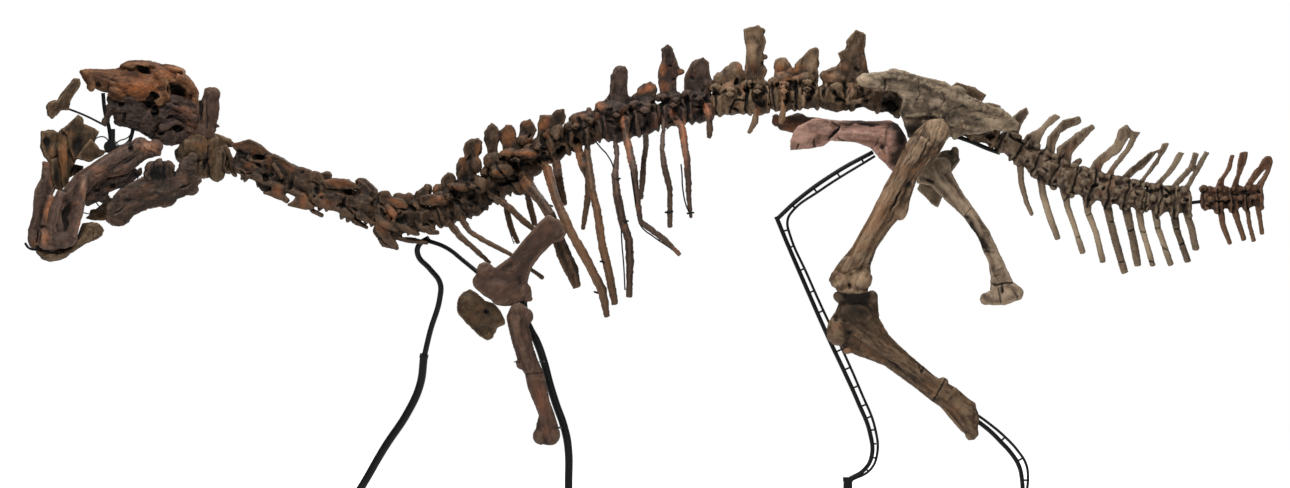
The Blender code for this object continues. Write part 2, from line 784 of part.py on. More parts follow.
def build_shoulder():
    """The left shoulder blade, the plate under it and the upper arm."""
    blade = [
        (478, 268), (483, 263), (495, 268), (510, 257), (525, 238), (540, 222), (548, 215), (560, 222),
        (566, 232), (563, 240), (553, 243), (540, 255), (531, 268), (527, 285), (532, 295), (523, 300),
        (510, 305), (498, 304), (490, 299), (482, 293), (474, 287), (474, 281),
    ]
    finish("scapula_left", BONE["brown"], [slab(blade, SCAPULA_SIDE, 0.032, edge=0.006)])
    plate = slab(
        [
            (458, 298), (463, 292), (470, 289), (476, 293), (485, 301), (493, 303), (500, 310),
            (504, 318),
            (505, 324), (497, 327), (494, 334), (487, 340), (480, 336), (465, 322), (457, 312),
            (457, 303),
        ],
        CORACOID_SIDE, 0.03,
    )
    hole = bmesh.new()
    middle = Matrix.Translation(spot(486, 312, CORACOID_SIDE)) @ Matrix.Rotation(math.pi / 2, 4, "X")
    size = {"radius1": FORAMEN_RADIUS, "radius2": FORAMEN_RADIUS, "depth": 0.1}
    bmesh.ops.create_cone(hole, cap_ends=True, segments=8, matrix=middle, **size)
    body = finish("coracoid_left", BONE["purple"], [plate])
    cut = body.modifiers.new("foramen", "BOOLEAN")
    cut.operation = "DIFFERENCE"
    cut.solver = "EXACT"
    cut.object = piece(hole)
    arm = bone(
        [
            (509, 309, 524, 305, 0.03),
            (506, 318, 532, 314, 0.042),
            (509, 329, 529, 327, 0.036),
            (513, 345, 533, 344, 0.03),
            (518, 362, 538, 360, 0.028),
            (525, 374, 544, 373, 0.03),
            (528, 388, 547, 387, 0.028),
            (534, 402, 550, 401, 0.028),
            (539, 415, 554, 413, 0.03),
            (536, 428, 558, 426, 0.04),
            (538, 440, 560, 437, 0.04),
            (546, 445, 555, 444, 0.028),
        ],
        side=ARM_SIDE,
    )
    finish("humerus_left", BONE["brown"], [arm])


def build_tail():
    """Fifteen vertebrae in four lengths, each with its spines above and its chevrons below."""
    lengths = {
        "tail_1": (
            "brown",
            1.6,
            [
                (1001, 141, 11, 0.05), (1019, 151, 12, 0.05), (1037, 163, 13, 0.05),
                (1055, 173, 14, 0.05), (1072, 181, 14, 0.05),
            ],
            [
                [
                    (1006, 141), (1008, 128), (1012, 118), (1020, 110), (1027, 107), (1029, 113),
                    (1022, 124), (1016, 146),
                ],
                [
                    (1023, 150), (1026, 135), (1040, 128), (1050, 117), (1055, 114), (1061, 117),
                    (1045, 130), (1040, 142), (1036, 160),
                ],
                [
                    (1043, 162), (1048, 137), (1063, 120), (1080, 116), (1081, 122), (1060, 133),
                    (1055, 145), (1052, 168),
                ],
                [
                    (1059, 172), (1058, 148), (1075, 135), (1092, 124), (1095, 128), (1080, 143),
                    (1072, 154), (1069, 176),
                ],
            ],
            [
                [(1020, 155, 8), (1021, 182, 6), (1027, 203, 5), (1032, 215, 3)],
                [(1039, 170, 9), (1043, 195, 7), (1050, 218, 7), (1058, 239, 6)],
                [(1063, 182, 10), (1067, 205, 6), (1075, 228, 6), (1083, 253, 6)],
            ],
        ),
        "tail_2": (
            "brown",
            1.3,
            [
                (1075, 182, 14, 0.048), (1092, 188, 14, 0.047), (1109, 192, 14, 0.046),
                (1126, 195, 14, 0.045), (1141, 198, 13, 0.044),
            ],
            [
                [
                    (1083, 186), (1089, 171), (1095, 160), (1115, 143), (1120, 130), (1127, 125),
                    (1133, 131), (1120, 151), (1104, 164), (1095, 186),
                ],
                [
                    (1101, 188), (1108, 170), (1126, 149), (1134, 131), (1141, 132), (1130, 151),
                    (1115, 170), (1110, 190),
                ],
                [
                    (1114, 191), (1120, 179), (1130, 168), (1150, 152), (1160, 149), (1147, 165),
                    (1130, 178), (1124, 193),
                ],
                [
                    (1131, 195), (1134, 188), (1144, 176), (1157, 157), (1163, 143), (1170, 143),
                    (1158, 165), (1147, 178), (1137, 194),
                ],
            ],
            [
                [(1086, 190, 12), (1088, 212, 7), (1096, 233, 6), (1103, 262, 6)],
                [(1106, 197, 11), (1110, 220, 8), (1117, 247, 8), (1125, 273, 8)],
                [(1124, 200, 13), (1130, 225, 8), (1134, 245, 8), (1138, 266, 8)],
                [(1137, 201, 9), (1142, 228, 6), (1148, 248, 6), (1153, 266, 6)],
            ],
        ),
        "tail_3": (
            "brown",
            0.8,
            [
                (1146, 199, 12.5, 0.042), (1160, 201, 13, 0.04), (1176, 203, 12.5, 0.038),
                (1191, 203, 12, 0.036),
            ],
            [
                [
                    (1149, 195), (1155, 184), (1172, 165), (1179, 152), (1185, 153), (1172, 173),
                    (1161, 186), (1158, 197),
                ],
                [
                    (1166, 196), (1172, 185), (1189, 167), (1194, 152), (1199, 154), (1194, 169),
                    (1179, 185), (1174, 198),
                ],
                [
                    (1180, 198), (1185, 187), (1196, 168), (1205, 151), (1209, 153), (1198, 173),
                    (1190, 187), (1188, 199),
                ],
            ],
            [
                [(1154, 206, 9), (1158, 228, 6), (1165, 248, 6), (1171, 265, 6)],
                [(1173, 208, 11), (1177, 230, 7), (1183, 248, 7), (1188, 262, 7)],
                [(1185, 208, 8), (1192, 230, 8), (1196, 250, 8)],
            ],
        ),
        "tail_4": (
            "red",
            0.8,
            [
                (1204, 201, 11, 0.03), (1218, 201, 11, 0.029), (1233, 200, 10.5, 0.028),
                (1247, 199, 10, 0.026), (1262, 198, 9, 0.024),
            ],
            [
                [
                    (1213, 196), (1219, 180), (1227, 168), (1231, 154), (1235, 155), (1232, 167),
                    (1225, 179), (1222, 196),
                ],
                [
                    (1228, 196), (1236, 175), (1240, 152), (1248, 152), (1246, 163), (1240, 178),
                    (1237, 195),
                ],
                [
                    (1241, 194), (1242, 188), (1248, 181), (1253, 173), (1259, 166), (1263, 159),
                    (1267, 156), (1271, 157), (1273, 162), (1271, 167), (1267, 167), (1261, 174),
                    (1253, 183), (1250, 194),
                ],
                [
                    (1266, 164), (1272, 165), (1269, 174), (1264, 183), (1261, 194), (1255, 194),
                    (1257, 186), (1262, 178), (1267, 170),
                ],
            ],
            [
                [(1220, 206, 9), (1223, 225, 6), (1230, 244, 4)],
                [(1233, 204, 9), (1238, 222, 6), (1244, 240, 5)],
                [(1246, 203, 6), (1250, 227, 4), (1254, 241, 4)],
                [(1257, 201, 6), (1260, 220, 4), (1262, 234, 4)],
            ],
        ),
    }
    for name, (colour, wings, rims, spines, chevrons) in lengths.items():
        pieces = [chain(rims, wings=wings)]
        for place, outline in enumerate(spines):
            pieces.append(slab(outline, 0.0, 0.018 + 0.002 * (place % 2)))
        for place, path in enumerate(chevrons):
            pieces.append(strip(path, 0.010 + 0.001 * (place % 2), sides=4))
        finish(name, BONE[colour], pieces)


def along(path, part):
    """The point a number of steps along a path, such as 2.5 for halfway from third to fourth."""
    before = path[int(part)]
    after = path[int(part) + 1]
    return tuple(a + (b - a) * (part % 1) for a, b in zip(before, after))


def build_ladder(name, thick, thin, rungs, sleeve):
    """Two rails with rungs between them, standing in a sleeve on a floor plate."""
    pieces = [rod(thick, RAIL, 6), rod(thin, THIN_RAIL, 5)]
    for first, second in rungs:
        pieces.append(rod([along(thick, first), along(thin, second)], RUNG, 4))
    pieces.append(rod(sleeve, LADDER_SLEEVE, 6, stands=True))
    pieces.append(flange(*sleeve[-1]))
    finish(name, STEEL, pieces, 0.6, 0.5)


def build_stand():
    """The blackened steel bars that hold the skeleton and stand in for its missing legs."""
    post = [
        (429, 238, 0.0), (419, 245, -0.01), (418, 255, -0.03), (430, 269, -0.06), (440, 283, -0.09),
        (440, 297, -0.11), (430, 332, -0.17), (422, 367, -0.22),
    ]
    sleeve = [
        (424, 356, -0.205), (420, 385, -0.25), (408, 412, -0.27), (385, 447, -0.29), (361, 488, -0.3),
        (350, 505, -0.3),
    ]
    branch = [(426, 240, 0.0), (445, 247, 0.08), (465, 262, 0.22), (480, 276, 0.305)]
    pieces = [rod(post, FRONT_POST), rod(sleeve, FRONT_SLEEVE, 6, stands=True), rod(branch, RAIL, 6)]
    pieces.append(flange(350, 505, -0.3))
    finish("stand_front_right", STEEL, pieces, 0.6, 0.5)
    post = [
        (531, 326, 0.3), (542, 343, 0.3), (550, 364, 0.3), (560, 400, 0.3), (569, 434, 0.31),
        (571, 452, 0.315), (569, 500, 0.32),
    ]
    pieces = [rod(post, ARM_POST, 6, stands=True), flange(569, 500, 0.32)]
    finish("stand_front_left", STEEL, pieces, 0.6, 0.5)
    build_ladder(
        "stand_hind_right",
        [
            (873, 152, -0.18), (840, 170, -0.18), (800, 198, -0.18), (778, 219, -0.18),
            (785, 240, -0.18), (800, 275, -0.18), (830, 345, -0.18), (855, 405, -0.18),
            (868, 446, -0.19), (860, 468, -0.2), (848, 482, -0.2),
        ],
        [
            (867, 160, -0.18), (820, 191, -0.18), (791, 215, -0.18), (787, 228, -0.18),
            (806, 278, -0.18), (840, 352, -0.18), (862, 408, -0.18), (876, 446, -0.19),
            (869, 471, -0.2), (849, 486, -0.2),
        ],
        [
            (0.7, 0.4), (1.6, 0.9), (3.4, 2.8), (4.7, 3.6), (5.6, 4.6), (6.35, 5.4), (7.3, 6.4),
            (8.5, 7.5),
        ],
        [(848, 477, -0.2), (847, 500, -0.2)],
    )
    build_ladder(
        "stand_hind_left",
        [
            (981, 424, 0.2), (990, 433, 0.2), (1000, 443, 0.2), (1011, 455, 0.2), (1018, 466, 0.2),
            (1021, 478, 0.2), (1022.5, 505, 0.2),
        ],
        [
            (981, 419, 0.2), (991, 426, 0.2), (1004, 437, 0.2), (1017, 450, 0.2), (1025, 462, 0.2),
            (1028, 475, 0.2), (1024, 502, 0.2),
        ],
        [(0.5, 0.6), (2.4, 1.9), (3.6, 3.5), (5.1, 4.6)],
        [(1023, 492, 0.2), (1023, 510, 0.2)],
    )
    link = [(1192.6, 203), (1202.4, 201)]
    finish("stand_tail_rod", STEEL, [rod([(*end, 0.0) for end in link], 0.0075, 8)], 0.6, 0.5)
    bar = [(961, 142, 0.0), (972, 147, 0.0), (986, 152, 0.0), (1000, 156, 0.0)]
    finish("stand_hip_bar", STEEL, [rod(bar, 0.0095, 6)], 0.6, 0.5)
    hub = slab([
        (105, 141), (117, 141), (119, 147), (116, 153), (106, 153), (103, 147),
    ], 0.0, 0.04, HEAD_TURN)
    arms = [
        rod([(103, 95, 0.0), (105, 112, 0.0), (109, 146, 0.0)], 0.006, 6, HEAD_TURN),
        rod([(112, 145, 0.0), (126, 145, 0.0), (131, 137, 0.0)], 0.006, 6, HEAD_TURN),
    ]
    finish("stand_head", STEEL, [hub, *arms], 0.6, 0.5)


def main():
    for shape in list(bpy.data.objects):
        bpy.data.objects.remove(shape)
    build_skull()
    build_neck()
    build_trunk()
    build_hips()
    build_shoulder()
    build_tail()
    build_stand()


main()
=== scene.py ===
import math
import random

import bmesh
import bpy
import numpy as np
from mathutils import Matrix, Vector, noise


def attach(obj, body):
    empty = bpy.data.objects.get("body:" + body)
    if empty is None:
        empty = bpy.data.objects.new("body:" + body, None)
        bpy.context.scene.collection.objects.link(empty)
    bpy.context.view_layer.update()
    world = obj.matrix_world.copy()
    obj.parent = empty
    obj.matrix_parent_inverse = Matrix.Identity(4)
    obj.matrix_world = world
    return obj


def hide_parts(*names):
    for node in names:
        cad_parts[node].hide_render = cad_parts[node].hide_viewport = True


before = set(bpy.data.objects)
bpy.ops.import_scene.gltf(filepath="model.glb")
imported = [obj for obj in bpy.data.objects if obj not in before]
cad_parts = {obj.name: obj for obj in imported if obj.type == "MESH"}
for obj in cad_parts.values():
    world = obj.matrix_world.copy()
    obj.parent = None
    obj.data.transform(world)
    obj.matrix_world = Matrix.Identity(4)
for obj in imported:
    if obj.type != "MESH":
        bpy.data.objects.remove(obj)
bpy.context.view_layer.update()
random.seed(4)
scene = bpy.context.scene

drawing = {  # the side drawing that every place is given in, in units across and down
    "unit": 0.0048,  # metres in one unit
    "floorDown": 530,
    "middleAcross": 657.146,
    "eyeAcross": 645,
    "eyeDown": 244,
    "eyeAway": 14.0,  # metres from the midplane to the eye
    "middleSide": 0.016,
    "headTurn": math.radians(25),
    "headPivot": 205,
}
headTurn = drawing["headTurn"]
eyeX = (drawing["eyeAcross"] - drawing["middleAcross"]) * drawing["unit"]
eyeZ = (drawing["floorDown"] - drawing["eyeDown"]) * drawing["unit"]


def place(across, down, side=0.0, turn=0.0):  # metres of a drawn point, side metres to the animal's left
    away, unit = drawing["eyeAway"], drawing["unit"]
    riseX = (across - drawing["eyeAcross"]) * unit / away
    riseZ = (drawing["eyeDown"] - down) * unit / away
    pivotX = (drawing["headPivot"] - drawing["middleAcross"]) * unit
    lean = math.tan(turn)
    depth = lean * (eyeX + away * riseX - pivotX) - side / math.cos(turn)
    depth /= 1 - lean * riseX
    reach = away + depth
    return Vector((eyeX + riseX * reach, depth + drawing["middleSide"], eyeZ + riseZ * reach))


def drawn(points):  # across and down of points in metres, the other way round
    away = drawing["eyeAway"]
    reach = (away + points[:, 1] - drawing["middleSide"]) * drawing["unit"] / away
    across = drawing["eyeAcross"] + (points[:, 0] - eyeX) / reach
    down = drawing["eyeDown"] - (points[:, 2] - eyeZ) / reach
    return across, down


def leftOf(turn):  # the animal's left, where its head is turned by that angle
    return Vector((math.sin(turn), -math.cos(turn), 0))


def frameOf(across, up, centre):  # matrix of a unit circle at centre
    ahead = across.cross(up).normalized()
    matrix = Matrix((across, up, ahead)).transposed().to_4x4()
    matrix.translation = centre
    return matrix


def knob(bm, at, reach, lean=0.0, turn=0.0):  # rounded lump, its last reach in metres
    centre = place(*at, turn)
    cosine, sine = math.cos(math.radians(lean)), math.sin(math.radians(lean))
    ahead = place(at[0] + reach[0] * cosine, at[1] + reach[0] * sine, at[2], turn) - centre
    up = place(at[0] + reach[1] * sine, at[1] - reach[1] * cosine, at[2], turn) - centre
    matrix = Matrix((ahead, up, leftOf(turn) * reach[2])).transposed().to_4x4()
    matrix.translation = centre
    bmesh.ops.create_icosphere(bm, subdivisions=2, radius=1, matrix=matrix)


def loft(bm, frames, sides):  # closed body through rings
    circle = bmesh.ops.create_circle(bm, cap_ends=True, segments=sides, radius=1, matrix=frames[0])
    end = circle["verts"][0].link_faces[0]
    inner = None
    for before, after in zip(frames, frames[1:]):
        grown = bmesh.ops.extrude_face_region(bm, geom=[end])["geom"]
        corners = [part for part in grown if isinstance(part, bmesh.types.BMVert)]
        end = next(part for part in grown if isinstance(part, bmesh.types.BMFace))
        bmesh.ops.transform(bm, matrix=after @ before.inverted(), verts=corners)
        if inner:
            bmesh.ops.delete(bm, geom=[inner], context="FACES_ONLY")
        inner = end


def spar(bm, path, flat, turn=0.0, sides=8):  # bar through (across, down, width, side)
    points = [place(across, down, side, turn) for across, down, width, side in path]
    frames = []
    across = None
    for index, point in enumerate(points):
        ahead = points[min(index + 1, len(points) - 1)] - points[max(index - 1, 0)]
        ahead.normalize()
        if across is None:
            lengthwise = abs(ahead.x) > 0.7
            across = Vector((0, 0, 1)) if lengthwise else Vector((1, 0, 0))
        across = (across - ahead * across.dot(ahead)).normalized()
        half = path[index][2] * drawing["unit"] / 2
        frames.append(frameOf(ahead.cross(across) * half * flat, across * half, point))
    loft(bm, frames, sides)


def leaf(bm, outline, side, thick, turn=0.0):  # plate with a drawn outline
    corners = [bm.verts.new(place(across, down, side + thick / 2, turn)) for across, down in outline]
    face = bm.faces.new(corners)
    grown = bmesh.ops.extrude_face_region(bm, geom=[face])["geom"]
    moved = [part for part in grown if isinstance(part, bmesh.types.BMVert)]
    bmesh.ops.translate(bm, vec=leftOf(turn) * -thick, verts=moved)


class Flow:  # a shader socket that can be used in an expression
    def __init__(self, graph, socket):
        self.graph, self.socket = graph, socket

    def maths(self, operation, *others, **settings):
        return self.graph.node("ShaderNodeMath", {"operation": operation, **settings}, self, *others)

    def __add__(self, other):
        return self.maths("ADD", other)

    __radd__ = __add__

    def __sub__(self, other):
        return self.maths("SUBTRACT", other)

    def __rsub__(self, other):
        return (self * -1) + other

    def __mul__(self, other):
        return self.maths("MULTIPLY", other)

    __rmul__ = __mul__

    def clamped(self):
        return self.maths("ADD", 0.0, use_clamp=True)

    def over(self, low, high):  # 0 at low, 1 at high, smooth between
        settings = {"interpolation_type": "SMOOTHSTEP"}
        return self.graph.node("ShaderNodeMapRange", settings, self, low, high, 0.0, 1.0)


class Graph:  # the nodes of a material or of the world
    def __init__(self, owner):
        owner.use_nodes = True
        self.tree = owner.node_tree
        self.tree.nodes.clear()
        self.objectPlace = self.node("ShaderNodeTexCoord", {}, out=3)

    def feed(self, socket, value):
        if isinstance(value, Flow):
            self.tree.links.new(value.socket, socket)
        elif value is not None:
            socket.default_value = value

    def node(self, kind, settings, *values, out=0, **named):
        node = self.tree.nodes.new(kind)
        for key, value in settings.items():
            setattr(node, key, value)
        for index, value in enumerate(values):
            self.feed(node.inputs[index], value)
        for key, value in named.items():
            self.feed(node.inputs[key.replace("_", " ")], value)
        return Flow(self, node.outputs[out])

    def cloudy(self, waves, detail, roughness=0.5, distortion=0.0, at=None, out=0):  # noise
        return self.node(
            "ShaderNodeTexNoise", {}, at or self.objectPlace, out=out,
            Scale=waves, Detail=detail, Roughness=roughness, Distortion=distortion,
        )

    def mix(self, share, first, second):  # two colours, whose sockets come after five of other kinds
        first, second = (colour if isinstance(colour, Flow) else (*colour, 1) for colour in (first, second))
        return self.node("ShaderNodeMix", {"data_type": "RGBA"}, share, *[None] * 5, first, second, out=2)

    def show(self, shader, output="ShaderNodeOutputMaterial"):
        self.tree.links.new(shader.socket, self.tree.nodes.new(output).inputs[0])

    def finish(self, **look):
        self.show(self.node("ShaderNodeBsdfPrincipled", {}, **look))


def shade(colour, amount):
    return tuple(min(part * amount, 1.0) for part in colour)


boneTones = {  # deep, body, pale and rust colours, in thousandths of linear light, and how patchy it is; deep is for stains, cracks and pores and for the painted shade in hollows and creases
    "olive": ((3.5, 2.4, 1.4), (30, 17.5, 8.5), (125, 80, 45), (150, 58, 20), 0.8),
    "orange": ((4.5, 2.5, 1.5), (46, 18.5, 7.5), (160, 82, 42), (200, 62, 18), 0.9),
    "black": ((2.6, 1.7, 1.3), (12.5, 7.2, 5.4), (52, 31, 22), (130, 48, 20), 0.8),
    "dark": ((2.4, 1.8, 1.4), (15.5, 9, 6.6), (72, 45, 31), (260, 90, 36), 0.8),
    "umber": ((2.4, 1.7, 1.1), (16, 9.2, 5.2), (80, 46, 26), (155, 56, 20), 0.9),
    "brown": ((4, 2.7, 1.7), (37, 22, 12), (145, 93, 55), (200, 76, 29), 0.8),
    "sand": ((4, 2.9, 1.9), (42, 25.6, 16), (162, 120, 79), (200, 85, 36), 0.8),
    "mauve": ((4.5, 2.8, 2.2), (31, 18, 13.2), (130, 82, 60), (300, 115, 50), 0.7),
    "plum": ((4.2, 2.5, 1.8), (29, 15.5, 10.3), (100, 60, 40), (100, 36, 18), 0.5),
    "purple": ((3.2, 2.2, 1.6), (18.5, 10.8, 7.2), (85, 54, 38), (130, 55, 26), 0.7),
    "tan": ((6, 4, 2.6), (58, 33.5, 18), (240, 166, 104), (140, 56, 24), 0.8),
    "grey": ((7, 5, 3.4), (62, 44, 29), (235, 178, 120), (160, 88, 44), 0.8),
    "stone": ((8, 5.6, 3.8), (76, 53, 35), (270, 200, 137), (160, 85, 44), 0.8),
    "pink": ((8, 5, 4), (105, 56, 41), (260, 160, 125), (170, 68, 36), 0.8),
    "red": ((3.2, 1.8, 1.2), (32, 14, 7.4), (125, 68, 38), (150, 50, 21), 0.8),
}
skinLook = {  # the patterns of bone: waves per metre, then from where to where each shows, then shares
    "patches": 5.0,
    "rusty": 8.0,
    "wobble": 14.0,
    "shards": 15.0,
    "mottle": 22.0,
    "fibre": 70.0,
    "fine": 120.0,
    "pores": 150.0,
    "grainStretch": 6.0,  # how much longer the fibres are than they are wide
    "crackBend": 0.05,
    "cloudShows": (0.30, 0.78),
    "crackShows": (0.0, 0.03),
    "crackedShows": (0.50, 0.62),
    "rustShows": (0.54, 0.70),
    "rubShows": (0.15, 1.1),
    "dustShows": (0.56, 0.75),
    "pitShows": (0.05, 0.22),
    "dirtShows": (0.05, 0.95),
    "darkest": 0.72,  # of the patches, below and above the body colour
    "lightest": 0.85,
    "rust": 0.4,
    "tint": (0.32, 0.43),  # plain, and where the patches are light
    "bleach": (0.40, 0.6),
    "bleached": 1.7,
    "rub": 0.62,
    "dust": 0.36,
    "bump": (0.9, 0.005),
    "rough": 0.50,
    "specular": 0.12,
}


def fossilSkin(name, tone, lean):  # mineralised bone, its grain along a line at lean degrees
    *colours, patchy = boneTones[tone]
    deep, body, pale, rust = (tuple(part / 1000 for part in colour) for colour in colours)
    material = bpy.data.materials.new(name)
    graph = Graph(material)
    wear, stain, tint, bleach = (
        graph.node("ShaderNodeAttribute", {"attribute_name": mark}, out=2)
        for mark in ("wear", "stain", "tint", "bleach")
    )
    grain = {"Rotation": (0, -math.radians(lean), 0), "Scale": (skinLook["grainStretch"], 1.0, 1.0)}
    along = graph.node("ShaderNodeMapping", {"vector_type": "TEXTURE"}, graph.objectPlace, **grain)
    patches = graph.cloudy(skinLook["patches"], 3.0, 0.55)
    mottle = graph.cloudy(skinLook["mottle"], 6.0, 0.65, 0.6)
    fine = graph.cloudy(skinLook["fine"], 4.0, 0.6)
    fibre = graph.cloudy(skinLook["fibre"], 5.0, 0.65, 0.3, at=along)
    rusty = graph.cloudy(skinLook["rusty"], 5.0, 0.7, 1.1)
    wobble = graph.cloudy(skinLook["wobble"], 3.0, out=1)
    shifted = graph.node("ShaderNodeVectorMath", {"operation": "SCALE"}, wobble, Scale=skinLook["crackBend"])
    bent = graph.node("ShaderNodeVectorMath", {"operation": "ADD"}, along, shifted)
    edges = {"feature": "DISTANCE_TO_EDGE"}
    shard = graph.node("ShaderNodeTexVoronoi", edges, bent, Scale=skinLook["shards"], Randomness=1.0)
    pore = graph.node("ShaderNodeTexVoronoi", {}, graph.objectPlace, Scale=skinLook["pores"])
    cracked = mottle.over(*skinLook["crackedShows"])
    cracks = (1 - shard.over(*skinLook["crackShows"])) * cracked * patchy
    cloud = (patches * 0.6 + mottle * 0.9 + fibre * 0.5 - 0.45).over(*skinLook["cloudShows"])
    darkest = shade(body, 1 - skinLook["darkest"] * patchy)
    colour = graph.mix(cloud, darkest, shade(body, 1 + skinLook["lightest"] * patchy))
    plainTint, lightTint = skinLook["tint"]
    rusted = rusty.over(*skinLook["rustShows"]) * skinLook["rust"] * patchy
    rusted = rusted + tint * (plainTint + cloud * lightTint)
    colour = graph.mix(rusted.clamped(), colour, rust)
    plainBleach, lightBleach = skinLook["bleach"]
    whitened = bleach * (plainBleach + cloud * lightBleach)
    colour = graph.mix(whitened.clamped(), colour, shade(pale, skinLook["bleached"]))
    rubbed = graph.mix((tint * 0.75).clamped(), pale, shade(rust, 1.2))
    colour = graph.mix((wear.over(*skinLook["rubShows"]) * skinLook["rub"]).clamped(), colour, rubbed)
    dusty = fine.over(*skinLook["dustShows"]) * cloud * skinLook["dust"]
    colour = graph.mix(dusty.clamped(), colour, shade(pale, 0.8))
    pits = 1 - pore.over(*skinLook["pitShows"])
    # darker towards the deep colour: painted shade in creases and hollows (the negative part of the wear
    # attribute) and in dents, with real stains, cracks and pores
    dirtAndShade = (wear * -1).over(*skinLook["dirtShows"]) * 0.9 + stain + cracks * 0.6 + pits * 0.25
    colour = graph.mix(dirtAndShade.clamped(), colour, deep)
    height = fibre * 0.42 + mottle * 0.45 + fine * 0.25 - cracks * 0.5 - pits * 0.12
    bump = graph.node("ShaderNodeBump", {}, *skinLook["bump"], Height=height)
    rough = skinLook["rough"] + fine * 0.22 + dirtAndShade.clamped() * 0.15
    graph.finish(Base_Color=colour, Roughness=rough, Normal=bump, Specular_IOR_Level=skinLook["specular"])
    return material


skins = {}


def skinOf(tone, lean):  # bones of one finish and grain share a material
    key = f"fossil_{tone}_{int(lean)}"
    if key not in skins:
        skins[key] = fossilSkin(key, tone, lean)
    return skins[key]


wearing = {  # how the fused solids turn into worn bone with painted shade in its dents and creases, in metres where nothing else is said
    "inward": 0.55,  # shares of the smoothing that goes in, and back out so that thin bone keeps its girth
    "outward": 0.56,
    "waves": (7, 17, 42, 130),  # of swell, lumps, knobbles and grit, in waves per metre
    "knobbles": (0.9, 2.1, 3),  # roughness, step and number of the knobbles' octaves
    "gritRise": 2.2,
    "bendWaves": 24,
    "bend": 2.4,  # units that marks stray from their drawn place
    "hangsWithin": 5,  # units under the backbone in which a rib starts to hang free
    "hangingCalm": 0.4,
    "hangingGirth": 0.003,
    "nearFace": 1.6,  # how fast marks fade where the surface turns away from the left, and from the right
    "farFace": 0.9,
    "edgeFace": 0.25,
    "softness": 1.4,
    "dentStain": (0.02, 0.85),  # depth of a dent that is painted fully shaded, and the most painted shade a dent gets
    "crackStain": (0.004, 1.1),
    "calm": 0.6,
    "nearTurns": 8,  # how often the fine and the broad relief are smoothed to measure the wear on ridges and the painted shade in hollows and creases
    "wideTurns": 34,
    "fineDepth": 0.003,
    "fineShare": 0.7,
    "fineLimit": 1.2,
    "broadDepth": 0.0095,
    "broadLimits": (-1.3, 0.45),
    "mostMark": 1.3,
    "leastWear": -1.5,
}


def meanOfNeighbours(points, first, second, share):
    near = np.empty_like(points)
    for axis in range(3):
        near[:, axis] = np.bincount(first, points[second, axis], len(points))
        near[:, axis] += np.bincount(second, points[first, axis], len(points))
    return near * share


def calmed(points, first, second, share, turns):  # the points with their fine relief smoothed away
    for turn in range(turns):
        points = points + wearing["calm"] * (meanOfNeighbours(points, first, second, share) - points)
    return points


def offset(dx, dy, reachX, reachY, turned=0):  # 0 at the middle of a tilted ellipse, 1 at its rim
    cosine, sine = math.cos(math.radians(turned)), math.sin(math.radians(turned))
    return np.hypot((dx * cosine + dy * sine) / reachX, (dy * cosine - dx * sine) / reachY)


def relief(points, bone):  # how far noise lifts each point, stretched along the bone's grain
    swell, lump, knobble, grit = (height / 1000 for height in bone.get("relief", (5.5, 3.2, 2.8, 1.1)))
    lean = math.radians(bone.get("lean", 90))
    ahead = np.array([math.cos(lean), 0, math.sin(lean)])
    along = (points @ ahead)[:, None] * ahead
    drift = points - along + along * bone.get("stretch", 0.45)
    swells, lumps, knobbles, grits = wearing["waves"]
    moved = np.empty(len(points))
    for index, spot in enumerate(drift.tolist()):
        moved[index] = (
            swell * noise.noise([part * swells for part in spot])
            + lump * noise.noise([part * lumps for part in spot])
            + knobble * noise.fractal([part * knobbles for part in spot], *wearing["knobbles"])
            - grit * abs(noise.noise([part * grits for part in spot])) * wearing["gritRise"]
        )
    return moved + bone.get("girth", 1.5) / 1000


def strayed(points):  # across and down of the points, with the wobble that marks are drawn with
    waves = wearing["bendWaves"]
    bend = np.empty((len(points), 2))
    for index, (x, y, z) in enumerate(points.tolist()):
        bend[index, 0] = noise.noise((x * waves, y * waves, z * waves + 3))
        bend[index, 1] = noise.noise((x * waves + 7, y * waves, z * waves))
    across, down = drawn(points)
    return across + bend[:, 0] * wearing["bend"], down + bend[:, 1] * wearing["bend"]


def farFrom(path, across, down):  # units from each point to a drawn line
    near = np.full(len(across), np.inf)
    for (x1, y1), (x2, y2) in zip(path, path[1:]):
        length = math.hypot(x2 - x1, y2 - y1)
        part = np.clip(((across - x1) * (x2 - x1) + (down - y1) * (y2 - y1)) / length**2, 0, 1)
        near = np.minimum(near, np.hypot(across - x1 - part * (x2 - x1), down - y1 - part * (y2 - y1)))
    return near


